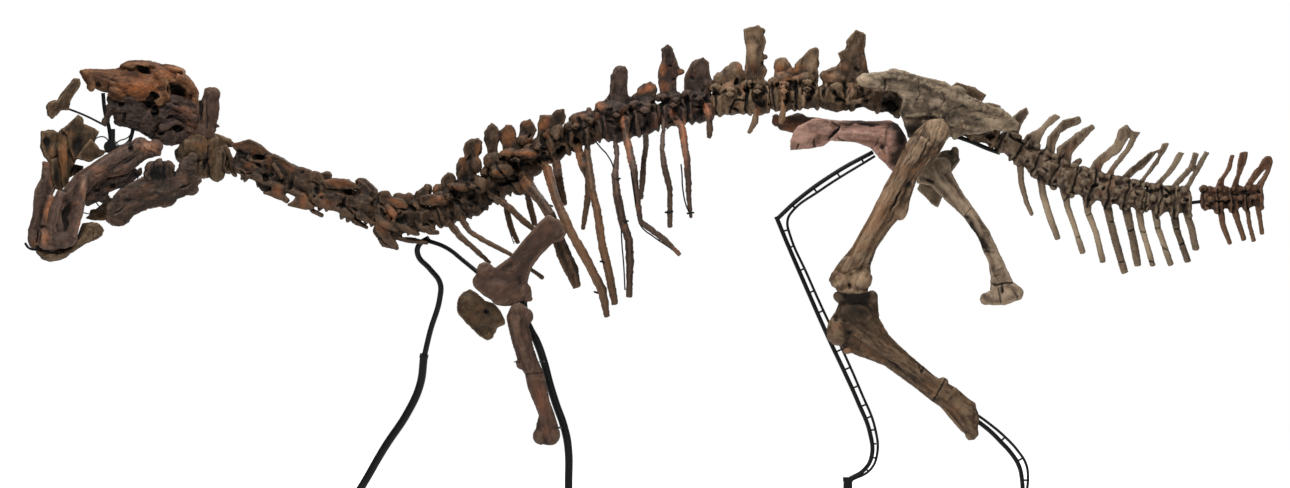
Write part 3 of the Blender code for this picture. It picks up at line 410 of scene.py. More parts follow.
def weather(shape, bone):  # turns the fused solid's flat faces into worn bone, with painted shade stored for its dents and creases
    mesh = shape.data
    count = len(mesh.vertices)
    flat = np.empty(count * 3)
    mesh.vertices.foreach_get("co", flat)
    points = flat.reshape(-1, 3)
    ends = np.empty(len(mesh.edges) * 2, int)
    mesh.edges.foreach_get("vertices", ends)
    first, second = ends[::2], ends[1::2]
    share = (1 / np.maximum(np.bincount(ends, minlength=count), 1))[:, None]
    for turn in range(bone.get("smooth", 8)):
        points = points + wearing["inward"] * (meanOfNeighbours(points, first, second, share) - points)
        points = points - wearing["outward"] * (meanOfNeighbours(points, first, second, share) - points)
    mesh.vertices.foreach_set("co", points.ravel())
    mesh.update()
    normals = np.empty(count * 3)
    mesh.vertices.foreach_get("normal", normals)
    normals = normals.reshape(-1, 3)
    moved = relief(points, bone)
    if "under" in bone:  # ribs and chevrons hang below this line, and lose the most to smoothing
        across, down = drawn(points)
        line = np.array(bone["under"])
        hanging = (down - np.interp(across, line[:, 0], line[:, 1])) / wearing["hangsWithin"]
        hanging = np.clip(hanging, 0, 1)
        moved = moved * (1 - wearing["hangingCalm"] * hanging) + wearing["hangingGirth"] * hanging
    across, down = strayed(points)
    facing = np.where(normals[:, 1] < 0, -wearing["nearFace"], wearing["farFace"])
    facing = np.clip(facing * normals[:, 1] + wearing["edgeFace"], 0, 1)
    marks = {name: np.zeros(count) for name in ("stain", "tint", "bleach")}
    # dents get painted shade: the deeper the dent, the darker its stain mark
    full, most = wearing["dentStain"]
    for x, y, reachX, reachY, depth, turned in bone["dents"]:
        near = np.clip(1 - offset(across - x, down - y, reachX, reachY, turned), 0, 1)
        press = near**2 * (3 - 2 * near) * facing
        moved -= press * depth
        marks["stain"] += press * min(depth / full, most)
    soft = wearing["softness"]
    for name in marks:
        for x, y, reachX, reachY, amount, *turned in bone.get(name, ()):
            far = offset(across - x, down - y, reachX, reachY, *turned)
            marks[name] += np.clip(soft - soft * far, 0, 1) * amount
    full, most = wearing["crackStain"]
    for path, width, depth in bone["cracks"]:
        press = np.clip(1 - farFrom(path, across, down) / width, 0, 1) * facing
        moved -= press * depth
        marks["stain"] += press * min(depth / full, most)
    points = points + normals * moved[:, None]
    mesh.vertices.foreach_set("co", points.ravel())
    near = calmed(points, first, second, share, wearing["nearTurns"])
    wide = calmed(near, first, second, share, wearing["wideTurns"])
    # ridges stand out of the smoothed surface and are worn paler; hollows and creases sink below it and get
    # painted shade (negative values), scaled by the bone's crease shade share
    fineBulge = np.einsum("ij,ij->i", points - near, normals) / wearing["fineDepth"]
    fineBulge = np.clip(fineBulge * wearing["fineShare"], -wearing["fineLimit"], wearing["fineLimit"])
    broadBulge = np.einsum("ij,ij->i", points - wide, normals) / wearing["broadDepth"]
    wear = fineBulge + np.clip(broadBulge, *wearing["broadLimits"])
    marks["wear"] = np.where(wear < 0, wear * bone.get("grime", 1.0), wear)
    for name, values in marks.items():
        attribute = mesh.attributes.new(name, "FLOAT", "POINT")
        least = wearing["leastWear"] if name == "wear" else 0
        attribute.data.foreach_set("value", np.clip(values, least, wearing["mostMark"]).astype(np.float32))
    mesh.polygons.foreach_set("use_smooth", [True] * len(mesh.polygons))
    mesh.update()


def bars(spars):  # with their sides in metres
    return [([(x, y, width, side / 1000) for x, y, width, side in path], flat) for path, flat in spars]


def listed(bone):  # a bone's forms with what is in millimetres turned to metres
    return {
        **bone,
        "knobs": [
            ((x, y, side / 1000), (wide, high, deep / 1000), lean[0] if lean else 0)
            for x, y, side, wide, high, deep, *lean in bone.get("knobs", ())
        ],
        "spars": bars(bone.get("spars", ())),
        "leaves": [(outline, side / 1000, thick / 1000) for outline, side, thick in bone.get("leaves", ())],
        "dents": [
            (x, y, wide, high, depth / 1000, lean[0] if lean else 0)
            for x, y, wide, high, depth, *lean in bone.get("dents", ())
        ],
        "cracks": [(path, width, depth / 1000) for path, width, depth in bone.get("cracks", ())],
    }


def fossil(node, bone):  # a worn bone from the frame's solid and the bone's own extra forms
    bm = bmesh.new()
    bm.from_mesh(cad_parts[node].data)
    bmesh.ops.remove_doubles(bm, verts=bm.verts, dist=0.0001)
    turn = bone.get("turn", 0.0)
    for at, reach, lean in bone["knobs"]:
        knob(bm, at, reach, lean, turn)
    for path, flat in bone["spars"]:
        spar(bm, path, flat, turn)
    for outline, side, thick in bone["leaves"]:
        leaf(bm, outline, side, thick, turn)
    bmesh.ops.recalc_face_normals(bm, faces=bm.faces)
    data = bpy.data.meshes.new(node + "_bone")
    bm.to_mesh(data)
    bm.free()
    shape = bpy.data.objects.new(node + "_bone", data)
    scene.collection.objects.link(shape)
    fuse = shape.modifiers.new("fuse", "REMESH")
    fuse.mode, fuse.voxel_size = "VOXEL", bone.get("voxel", 5.5) / 1000
    fused = bpy.data.meshes.new_from_object(shape.evaluated_get(bpy.context.evaluated_depsgraph_get()))
    shape.modifiers.clear()
    shape.data = fused
    fused.name = node + "_bone"
    weather(shape, bone)
    fused.materials.clear()
    fused.materials.append(skinOf(bone["tone"], bone.get("lean", 90)))
    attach(shape, "root")
    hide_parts(node)


# Each bone's dictionary lists its extra forms and marks, in drawing units, degrees and millimetres:
# knobs (across, down, side, half width, half height, half depth, lean), spars (a path of across, down,
# width and side, then how flat), leaves (outline, side, thickness), dents (across, down, half width,
# half height, depth, lean), cracks (path, half width, depth), and
# stain marks, tint and bleach (across, down, half width, half height, amount, lean); the stain marks are
# partly real stain and partly painted shade in hollows and gaps, and dents get painted shade by their depth.


def skullBone(node, bone):
    fossil(node, {"turn": headTurn, "voxel": 4.2, "smooth": 5, **listed(bone)})


skullBone("skull_roof", {
    "tone": "orange", "lean": 0, "relief": (4, 5, 3.5, 1.3), "grime": 0.8,
    "knobs": [
        (91, 84, 30, 4.5, 8, 20), (141, 88, 40, 24, 12, 75, -6), (128, 84, 50, 20, 9, 50, 4),
        (139, 66, 20, 19, 6, 70), (172, 70, 20, 14, 5, 60, 12), (112, 74, 10, 18, 5, 30),
        (187, 84, 50, 6, 14, 30, -28), (165, 90, 75, 6, 13, 25, -10), (118, 92, 60, 10, 6, 30, 25),
        (160, 98, 85, 7, 9, 20, 10),
    ],
    "spars": [
        ([(158, 72, 8, 85), (164, 84, 8, 90), (168, 96, 7, 85), (161, 106, 5, 70)], 0.7),
        ([(176, 76, 7, 80), (190, 82, 8, 75), (196, 94, 8, 60), (193, 108, 6, 50)], 0.8),
        ([(108, 94, 5, 50), (116, 98, 6, 55), (130, 99, 8, 60), (146, 97, 7, 70)], 0.7),
        ([(124, 70, 6, 30), (136, 65, 6, 40), (150, 66, 5, 50), (160, 73, 6, 60)], 0.8),
    ],
    "dents": [
        (143, 70, 12, 5, 40, 20), (177, 92, 13, 9, 50, 35), (98, 86, 3, 4, 15), (154, 97, 7, 5, 40, -10),
        (112, 80, 12, 2, 6, 8),
    ],
    "tint": [(140, 88, 28, 12, 0.85), (165, 72, 28, 8, 0.4), (112, 74, 26, 5, 0.15)],
    "bleach": [(134, 84, 5, 4, 0.25), (108, 90, 10, 4, 0.15), (178, 68, 8, 3, 0.3), (160, 104, 4, 3, 0.3)],
    "stain": [
        (98, 78, 16, 9, 0.6), (177, 92, 12, 9, 0.6, 35), (153, 98, 7, 5, 0.9), (116, 98, 12, 3, 0.4),
        (88, 86, 6, 10, 0.5), (110, 92, 9, 8, 0.45, 30), (122, 80, 12, 3, 0.35, 10),
        (164, 84, 3, 12, 0.4, -10),
    ],
    "cracks": [([(116, 90), (128, 94), (142, 92)], 0.9, 1.5), ([(126, 78), (133, 90)], 0.9, 1.5)],
})
skullBone("braincase", {
    "tone": "black", "lean": 0, "relief": (4, 9, 6, 2),
    "knobs": [
        (119, 111, 30, 7, 12, 30), (134, 113, 45, 15, 15, 40), (148, 120, 60, 10, 13, 30, 30),
        (166, 114, 60, 13, 14, 35), (183, 113, 60, 14, 9, 30, 10), (170, 136, 45, 16, 9, 40),
        (190, 124, 50, 10, 11, 30), (128, 99, 30, 14, 7, 50), (176, 103, 50, 22, 7, 30, 8),
        (184, 134, 60, 10, 10, 20), (147, 98, 30, 12, 6, 30), (107, 117, 30, 4, 9, 14, 25),
        (112, 108, 20, 6, 7, 20, 20), (112, 101, 20, 5, 7, 20, -20),
    ],
    "spars": [
        ([(164, 104, 5, 90), (176, 107, 6, 95), (186, 112, 6, 90), (196, 120, 6, 80)], 0.6),
        ([(160, 128, 6, 80), (176, 122, 6, 90), (190, 130, 6, 85), (200, 134, 5, 80)], 0.6),
    ],
    "dents": [
        (121, 104, 4, 5, 20), (155, 112, 4, 8, 35, 10), (178, 128, 7, 5, 35, 10), (124, 117, 3, 7, 20, 15),
        (160, 134, 6, 4, 20), (172, 117, 5, 3, 20),
    ],
    "tint": [(186, 111, 16, 7, 0.5), (190, 130, 8, 6, 0.3), (150, 146, 12, 3, 0.25)],
    "bleach": [(136, 108, 9, 7, 0.12), (186, 130, 6, 4, 0.25)],
})
skullBone("quadrate_left", {
    "tone": "plum", "grime": 0.7, "smooth": 9,
    "knobs": [
        (210, 95, 70, 7.5, 9, 20), (214, 95, 70, 7, 8.5, 20), (206, 130, 70, 10, 10, 22),
        (211, 110, 70, 9, 22, 20, 4),
    ],
    "spars": [
        ([(198, 100, 6, 60), (197, 118, 9, 60), (199, 134, 10, 70)], 0.5),
        ([(212, 122, 5, 70), (219, 127, 3, 70)], 0.7),
    ],
    "bleach": [(207, 104, 3, 20, 0.2), (212, 90, 9, 4, 0.12)],
    "dents": [(201, 108, 2.5, 18, 12, 4), (205, 98, 2, 6, 6)],
    "cracks": [([(207, 96), (208, 112), (207, 128)], 1.3, 4)],
})
skullBone("occiput", {
    "tone": "olive", "relief": (4, 4.5, 3.5, 1.5), "grime": 0.7, "smooth": 9,
    "knobs": [
        (198, 147, 55, 18, 13, 40, 15), (217, 163, 55, 10, 20, 35), (187, 148, 45, 9, 12, 30, 10),
        (203, 166, 35, 8, 13, 30), (193, 138, 40, 13, 8, 45, -20), (224, 141, 30, 11, 4, 20, 24),
        (211, 143, 50, 10, 9, 30, 20),
    ],
    "spars": [
        ([(224, 146, 7, 50), (230, 160, 6, 50), (236, 177, 3, 45)], 0.7),
        ([(190, 132, 6, 70), (202, 138, 7, 75), (212, 150, 6, 75), (216, 164, 5, 75)], 0.7),
    ],
    "cracks": [
        ([(192, 154), (201, 160)], 1.2, 3), ([(209, 146), (207, 156), (209, 174)], 1.4, 4),
        ([(222, 154), (223, 166), (226, 178)], 1.4, 4),
    ],
    "dents": [(205, 164, 3, 7, 20, 14), (226, 160, 2, 8, 12, -10)],
    "stain": [
        (203, 166, 4, 9, 0.8, 14), (193, 158, 7, 6, 0.8), (226, 160, 2.5, 9, 0.7), (184, 146, 4, 6, 0.6),
        (210, 178, 3, 5, 0.6),
    ],
    "tint": [(203, 146, 12, 6, 0.45), (189, 132, 8, 6, 0.3), (228, 156, 4, 10, 0.25)],
    "bleach": [(217, 166, 5, 12, 0.25), (189, 140, 5, 4, 0.25), (230, 166, 3, 8, 0.25)],
})
skullBone("nasal_front", {
    "tone": "olive", "lean": 55,
    "knobs": [(54, 108, 0, 7, 8, 18, 10), (64, 105, 0, 7, 5, 18, -20)],
    "dents": [(54, 106, 2, 1.6, 4)],
})
skullBone("nasal_left", {
    "tone": "olive", "grime": 0.8,
    "knobs": [(66, 165, -10, 5, 20, 16, 3), (79, 122, 12, 5, 7, 14), (84, 132, 10, 13, 6, 16, 10)],
    "spars": [
        ([(64, 136, 9, 0), (63, 150, 10, 10), (64, 164, 9, 5), (67, 180, 6, 0)], 0.7),
        ([(70, 131, 8, 0), (84, 129, 8, 10), (97, 133, 7, 12), (93, 141, 5, 20), (84, 151, 6, 20),
          (74, 158, 7, 15)], 0.6),
    ],
    "leaves": [
        ([(60, 130), (76, 126), (90, 129), (99, 132), (93, 140), (86, 149), (78, 158), (70, 174),
          (64, 178), (59, 160), (58, 144)], 0, 22),
        ([(92, 143), (103, 151), (90, 160), (80, 160), (74, 157)], 0, 20),
        ([(52, 160), (62, 156), (68, 164), (76, 164), (84, 166), (82, 173), (70, 178), (62, 192),
          (55, 188), (52, 174)], -20, 20),
    ],
    "dents": [(77, 144, 7, 12, 12, 15)],
    "stain": [
        (78, 143, 7, 12, 0.75, 15), (60, 168, 3, 10, 0.3), (90, 155, 8, 5, 0.4), (56, 176, 4, 16, 1.1),
        (76, 170, 8, 6, 1.1),
    ],
    "tint": [(63, 160, 6, 24, 1), (70, 134, 8, 5, 0.4), (74, 152, 4, 8, 0.4)],
    "bleach": [(90, 132, 9, 4, 0.2), (60, 147, 3, 4, 0.3)],
})
skullBone("nasal_right", {
    "tone": "olive",
    "knobs": [(50, 135, -50, 9, 5, 20), (53, 152, -50, 7, 9, 20), (55, 150, -30, 5, 8, 12, 30)],
    "leaves": [([(44, 132), (60, 132), (61, 160), (50, 161), (45, 156), (42, 146)], -45, 22)],
    "dents": [(47, 142, 4, 6, 14)],
    "stain": [(47, 143, 5, 7, 0.8), (57, 150, 3, 12, 0.5)],
    "tint": [(53, 152, 6, 9, 0.3)],
})
skullBone("premaxilla_left", {
    "tone": "mauve", "lean": 75, "relief": (4, 3.2, 1.7, 0.8), "grime": 0.8, "smooth": 9, "stretch": 0.8,
    "knobs": [
        (148, 150, 60, 13, 9, 24, -5), (140, 143, 60, 8, 6, 20), (45, 238, 60, 7, 12, 30, 3),
        (62, 240, 80, 16, 9, 30, -8), (156, 146, 60, 7, 7, 20), (44, 243, 60, 5.5, 6, 30),
        (55, 246, 70, 13, 4, 30, -6),
    ],
    "spars": [
        ([(62, 192, 10, 75), (55, 208, 11, 80), (51, 226, 11, 80), (56, 243, 9, 80)], 0.7),
        ([(84, 176, 12, 80), (80, 192, 12, 90), (77, 212, 12, 90), (70, 236, 12, 90)], 0.6),
        ([(84, 180, 13, 80), (104, 165, 13, 85), (124, 153, 12, 80), (138, 146, 9, 75)], 0.6),
    ],
    "dents": [
        (66, 214, 4.5, 20, 26, 6), (131, 148, 4, 6, 20, 10), (130, 160, 14, 2.4, 8, -30),
        (40, 238, 1.6, 9, 14, 4),
    ],
    "stain": [
        (66, 214, 4.5, 18, 0.55, 6), (131, 147, 5, 7, 0.9), (112, 170, 12, 3, 0.3, -30),
        (88, 200, 3, 14, 0.2),
    ],
    "tint": [
        (83, 188, 4, 14, 0.35), (79, 226, 3, 9, 0.45), (148, 147, 13, 8, 0.7), (98, 168, 12, 5, 0.3),
        (45, 238, 6, 10, 0.6),
    ],
    "bleach": [
        (84, 184, 2.6, 9, 0.7, 10), (146, 146, 10, 5, 0.5), (50, 232, 4, 10, 0.3), (58, 216, 2, 16, 0.3, 8),
    ],
    "cracks": [
        ([(139, 142), (144, 150), (154, 154)], 0.9, 3), ([(148, 141), (152, 148), (160, 150)], 0.8, 3),
        ([(96, 174), (112, 166), (128, 158)], 0.9, 3),
    ],
})
skullBone("premaxilla_right", {
    "tone": "mauve", "lean": 80, "relief": (4, 3, 1.6, 0.8), "grime": 0.8, "smooth": 9, "stretch": 0.8,
    "knobs": [(49, 172, -45, 8, 11, 18), (34, 237, -45, 6.5, 12, 22, 5), (42, 200, -45, 9, 26, 18, 10)],
    "spars": [
        ([(54, 170, 5, -35), (54, 186, 5, -35), (49, 198, 5, -35)], 0.8),
        ([(51, 196, 9, -20), (48, 210, 10, -15), (44, 226, 8, -10)], 0.7),
    ],
    "dents": [(38, 238, 2, 9, 20, 8)],
    "stain": [(58, 176, 3, 14, 0.5)],
    "tint": [(49, 211, 5, 19, 1.1, 8), (52, 178, 3, 12, 0.5), (34, 243, 5, 5, 0.5), (47, 164, 6, 5, 0.3)],
    "bleach": [(47, 176, 4, 6, 0.2), (37, 206, 3, 14, 0.12)],
})
skullBone("maxilla_left", {
    "tone": "black", "lean": 30, "relief": (4, 7, 5, 2),
    "knobs": [
        (100, 190, 35, 10, 10, 20), (104, 198, 30, 6, 6, 15), (123, 182, 35, 6, 7, 12),
        (130, 174, 40, 9, 6, 14, -30), (92, 200, 30, 6, 4, 15, -20), (112, 180, 35, 12, 6, 14, -25),
    ],
    "dents": [(97, 190, 5, 3, 15), (115, 186, 3, 4, 12)],
})
skullBone("dentary_left", {
    "tone": "purple", "lean": 20, "relief": (4, 5.5, 3.8, 1.4),
    "knobs": [
        (120, 218, 85, 11, 8, 20, 10), (188, 168, 85, 9, 12, 20), (151, 168, 85, 6, 7, 18, 20),
        (160, 164, 90, 5, 5, 20), (169, 167, 85, 5, 7, 16, -15), (192, 158, 80, 5, 6, 20, 20),
        (196, 181, 80, 6, 4, 18, -30), (168, 202, 80, 9, 5, 14, -20), (190, 190, 85, 9, 6, 16, -10),
        (124, 200, 85, 10, 10, 20, -15),
    ],
    "spars": [
        ([(138, 186, 7, 90), (150, 192, 7, 98), (164, 192, 8, 100), (186, 182, 8, 96)], 0.7),
        *[([(148 + step * 6, 165, 4, 96), (150 + step * 6, 180, 4, 100)], 0.8) for step in range(4)],
    ],
    "dents": [
        (156, 176, 10, 6, 14), (128, 200, 9, 4, 6, -18), (118, 211, 10, 1.6, 8, -24), (146, 163, 2, 4, 16),
        (164, 160, 1.6, 4, 16), (176, 172, 2, 8, 12, 10), (184, 186, 8, 2, 10, -20),
    ],
    "cracks": [([(154, 160), (156, 180)], 1.2, 4), ([(164, 160), (164, 180)], 1.2, 4)],
    "stain": [
        (158, 172, 15, 11, 0.85), (116, 200, 4, 8, 0.5), (178, 168, 4, 10, 0.5),
        (140, 208, 24, 2, 0.3, -20),
    ],
    "tint": [(152, 198, 8, 2.5, 0.6), (180, 178, 12, 6, 0.3), (148, 186, 8, 4, 0.4)],
    "bleach": [(156, 197, 4, 2, 0.9), (182, 172, 6, 6, 0.15), (120, 222, 7, 4, 0.15)],
})
skullBone("dentary_right", {
    "tone": "olive", "lean": 20,
    "knobs": [(97, 214, -50, 8, 5, 14, 20), (109, 206, -50, 6, 9, 14, 10), (104, 215, -50, 7, 5, 14)],
    "bleach": [(94, 216, 6, 3, 0.3)],
})
skullBone("predentary", {
    "tone": "olive", "lean": 10, "relief": (4, 4.5, 3.5, 1.5), "grime": 0.8,
    "knobs": [
        (48, 255, 10, 9, 6, 40, 10), (94, 231, 60, 10, 9, 18, -20), (62, 253, 30, 12, 6, 30, -20),
        (80, 240, 50, 12, 6, 20, -30), (41, 247, 0, 8, 4, 20, 10),
    ],
    "spars": [
        ([(40, 252, 5, 0), (52, 256, 6, 10), (70, 249, 6, 30), (86, 238, 7, 55), (98, 231, 8, 60)], 0.7),
    ],
    "leaves": [
        ([(37, 247), (48, 248), (60, 248), (70, 243), (80, 233), (84, 224), (94, 222), (98, 230),
          (80, 240), (66, 250), (50, 253)], -30, 30),
    ],
    "dents": [(60, 249, 12, 2, 8, -10)],
    # the dark marks at (37, 249) and (40, 246) and the knob at (41, 247) fill the gap under the snout: a
    # painted shadow
    "stain": [
        (56, 248, 20, 3, 1, -6), (78, 238, 10, 3, 0.9, -40), (37, 249, 3, 3, 0.9), (40, 246, 8, 3, 1),
    ],
    "bleach": [(92, 238, 8, 3, 0.4, -35), (56, 259, 8, 2, 0.15)],
    "cracks": [([(84, 246), (90, 240), (98, 236)], 0.8, 3), ([(88, 226), (94, 230), (92, 238)], 0.8, 3)],
})
print("skull done")

backKinds = {  # slot, reach of the rims in half widths, depth of the joints in metres, relief in millimetres
    "neck": ("neck_bone", 1.04, 0, (4, 5, 3.6, 1.4)),
    "front": ("back_bone", 1.04, 0.0065, (4, 5, 3.6, 1.4)),
    "back": ("back_bone", 1.04, 0.0065, (4, 5, 3.6, 1.4)),
    "hip": ("hip_bone", 0.92, 0.0014, (4, 5, 3.6, 1.4)),
    "tail": ("tail_bone", 1.04, 0.004, (3, 3.5, 3.5, 1.2)),
}
vertebra = {  # in units, or in shares of its length, its half height and its half width
    "discShare": (0.1, 0.84, 0.86),
    "discLonger": 1.6,
    "rimsAt": (0.14, 0.86),
    "rimShare": (0.13, 1.02),
    "rimLonger": 1.2,
    "rimVaries": 0.06,
    "jointRises": (1.1, 0.35, -0.4, -1.15),
    "jointWidth": 1.7,
    "lumpRises": (-0.5, 1.2),
    "lumpOut": (0.6, 0.95),
    "lump": (5.4, 3.6, 0.012),  # the last in metres
    "lumpVaries": (1.5, 1.0, 0.004),
    "pits": 2,
    "pitRises": (-0.7, 0.9),
    "pit": (2.6, 1.5, 0.008),  # the last in metres
    "pitVaries": (3.4, 1.6, 0.01),
}


def jitter(amount):
    return random.uniform(-amount, amount)


def vertebraParts(rims, half, kind, rimReach, jointDepth):  # what each vertebra grows
    knobs, spars, dents, cracks = [], [], [], []
    varies = vertebra["rimVaries"]
    for (x1, y1, h1), (x2, y2, h2) in zip(rims, rims[1:]):
        x, y, h, span = (x1 + x2) / 2, (y1 + y2) / 2, (h1 + h2) / 2, x2 - x1
        fall = (y2 - y1) / span
        lean = math.degrees(math.atan(fall))
        long, high, wide = vertebra["discShare"]
        disc = (span * long + vertebra["discLonger"], h1 * high, half * wide)
        knobs.append(((x1 - 1, y1 - fall, 0), disc, lean))
        long, high = vertebra["rimShare"]
        for end in vertebra["rimsAt"]:  # swollen rims
            at = (x1 + (x2 - x1) * end + jitter(0.6), y1 + (y2 - y1) * end + jitter(0.8), jitter(0.004))
            size = (
                span * long + vertebra["rimLonger"], h * (high + jitter(varies)),
                half * (rimReach + jitter(varies)),
            )
            knobs.append((at, size, lean + jitter(6)))
        joint = [
            (x1 + fall * h * rise + jitter(1.3), y1 - h * rise + jitter(0.8))
            for rise in vertebra["jointRises"]
        ]
        if jointDepth:
            cracks.append((joint, vertebra["jointWidth"] + jitter(0.4), jointDepth))
        rise = random.uniform(*vertebra["lumpRises"])  # worn lump
        out = half * random.choice((-1, 1)) * random.uniform(*vertebra["lumpOut"])
        at = (x + jitter(span * 0.4) + fall * h * rise, y - h * rise, out)
        size = tuple(part + jitter(more) for part, more in zip(vertebra["lump"], vertebra["lumpVaries"]))
        knobs.append((at, size, jitter(60)))
        for pit in range(vertebra["pits"]):
            rise = random.uniform(*vertebra["pitRises"])
            at = (x + jitter(span * 0.42) + fall * h * rise, y - h * rise)
            size = [
                part + random.random() * more for part, more in zip(vertebra["pit"], vertebra["pitVaries"])
            ]
            dents.append((*at, *size, lean + jitter(55)))
        if kind == "neck":
            for side in (half, -half):  # short ribs
                spars.append(([
                    (x - 6, y + h * 0.05, 9, side * 0.9), (x - 3 + jitter(1), y + h * 0.42, 9, side * 1.35),
                    (x + 6, y + h * 0.72, 7, side * 1.45),
                    (x + 15, y + h * 0.86 + (y2 - y1) * 0.4, 3, side * 1.3),
                ], 0.65))
        elif kind in ("front", "back"):
            trunkArch(knobs, spars, dents, (x1, y1, x2, y2), h, lean)
        elif kind == "hip":
            for side in (1, -1):
                spars.append(([
                    (x, y - h * 0.5, 15, 0.03 * side), (x + 1, y - h * 0.55, 12, 0.065 * side),
                    (x + jitter(2), y - h * 0.7, 10, 0.095 * side),
                ], 0.8))
            knobs.append(((x, y - h - 3, 0), (span * 0.5, 8, 0.03), lean))
            dents.append((x + span * 0.05, y + h * 0.2, span * 0.22, h * 0.42, 0.02, lean))
        else:
            for side in (1, -1):
                knobs.append(((x, y - h * 0.15, half * 1.05 * side), (span * 0.22, 3.0, 0.014), lean))
                at = (x1 - 0.5, y1 - h - 1.2 + jitter(0.6), 0.014 * side)
                knobs.append((at, (4.6, 2.8, 0.012), lean - 20))
            knobs.append(((x, y - h * 0.95, 0), (span * 0.38, 4.6, half * 0.6), lean))
            knobs.append(((x2 - 1.5, y2 + h * 0.95, 0), (3.2, 2.4, half * 0.5), lean))
            dents.append((x + jitter(1), y + h * 0.3, span * 0.16, h * 0.36, 0.007, lean))
    return {"knobs": knobs, "spars": spars, "dents": dents, "cracks": cracks}


def trunkArch(knobs, spars, dents, ends, h, lean):  # side processes, joint facets and hollows of a back bone
    x1, y1, x2, y2 = ends
    x, y, span = (x1 + x2) / 2, (y1 + y2) / 2, x2 - x1
    for side in (1, -1):
        spars.append(([
            (x - 1, y - h * 0.72, 14, 0.02 * side), (x + jitter(1.5), y - h * 0.85, 12, 0.055 * side),
            (x + 1 + jitter(2), y - h * 0.95 + jitter(1.5), 8, (0.085 + jitter(0.012)) * side),
        ], 0.6))
        at = (x1 + 0.5, y1 - h - 3 + jitter(1.5), 0.03 * side)
        knobs.append((at, (6.5, 4.5, 0.022), lean - 8 + jitter(14)))
    knobs.append(((x, y, 0), (span * 0.5, h * 0.9, 0.05), lean))
    knobs.append(((x + jitter(1), y - h - 1, 0), (span * 0.42, 7.5, 0.038), lean))
    hollow = x + span * 0.05 + jitter(1.5)
    dents.append((hollow, y + h * 0.25, span * 0.2, h * 0.4, 0.012, lean + jitter(12)))
    dents.append((x + span * 0.3, y - h * 0.68 + jitter(1.5), 5.5, 3.2, 0.015, 60 + jitter(30)))
    dents.append((x - span * 0.24, y - h * 0.86 + jitter(1.5), 4.8, 2.8, 0.012, -30 + jitter(30)))


# A length of the backbone: its kind, half its width in metres, the rims of its vertebrae (across, down,
# half height), and what it shows beyond them. Knobs, leaves and twins are made on both sides.
def backLength(node, kind, half, rims, marks):
    slot, rimReach, jointDepth, heights = backKinds[kind]
    bone = {"smooth": 8, "voxel": 4.5, "grime": 0.8, "relief": heights, **listed(marks)}
    bone["under"] = [(across, down + high) for across, down, high in rims]
    both = (1, -1)
    bone["leaves"] = [
        (outline, side * sign, thick) for outline, side, thick in bone["leaves"] for sign in both
    ]
    bone["knobs"] = [
        ((*at[:2], at[2] * sign), size, lean) for at, size, lean in bone["knobs"] for sign in both
    ]
    bone["spars"] += [
        ([(*spot[:3], spot[3] * sign) for spot in path], flat)
        for path, flat in bars(marks.get("twins", ())) for sign in both
    ]
    for part, forms in vertebraParts(rims, half, kind, rimReach, jointDepth).items():
        bone[part] += forms
    fossil(node, bone)


backLength("neck_front", "neck", 0.045, [
    (236, 161, 16), (247, 165, 17), (266, 172, 16), (285, 181, 15), (305, 189, 14),
], {
    "tone": "umber", "lean": -20,
    "leaves": [
        ([(230, 144), (241, 142), (249, 139), (256, 142), (263, 147), (272, 155), (263, 155), (251, 153),
          (236, 152)], 16, 36),
        ([(259, 161), (265, 156), (274, 154), (285, 160), (297, 167), (301, 171), (297, 174), (285, 173),
          (271, 168)], 30, 40),
        ([(288, 173), (297, 167), (303, 167), (312, 171), (312, 181), (303, 181), (295, 177)], 30, 40),
        ([(272, 184), (279, 182), (282, 190), (289, 199), (287, 203), (278, 198), (271, 196), (263, 193),
          (271, 190)], 62, 22),
        ([(296, 196), (304, 193), (309, 202), (314, 208), (306, 209), (295, 207), (287, 205),
          (294, 201)], 66, 22),
        ([(239, 158), (255, 160), (259, 170), (256, 179), (243, 176), (237, 168)], 42, 20),
    ],
    "knobs": [
        (245, 157, 0, 8, 7, 30), (268, 185, 30, 10, 5, 30, 15), (278, 176, 20, 13, 9, 35, 15),
        (300, 184, 30, 11, 8, 30, 15), (258, 172, 20, 12, 9, 35, 10),
    ],
    "spars": [
        ([(227, 149, 6, 45), (230, 160, 6, 50), (235, 176, 4, 45)], 0.6),
        ([(273, 164, 4, 58), (278, 171, 4, 62), (282, 178, 3, 60)], 0.8),
    ],
    "dents": [
        (260, 157, 8, 2.8, 30, 8), (259, 165, 5, 3.4, 26, 20), (290, 185, 4.5, 6.5, 26, 10),
        (266, 177, 4.5, 6, 22, -10), (240, 152, 3.4, 2.6, 14),
    ],
    "stain": [(240, 152, 6, 4, 0.7), (260, 157, 8, 3, 0.7), (266, 178, 6, 8, 0.4), (291, 185, 6, 8, 0.4)],
    "tint": [
        (243, 146, 14, 5, 0.5), (262, 150, 10, 4, 0.35), (286, 166, 14, 4, 0.5, 28), (276, 190, 5, 8, 0.6),
        (303, 201, 5, 9, 0.8), (247, 168, 8, 6, 0.25),
    ],
})
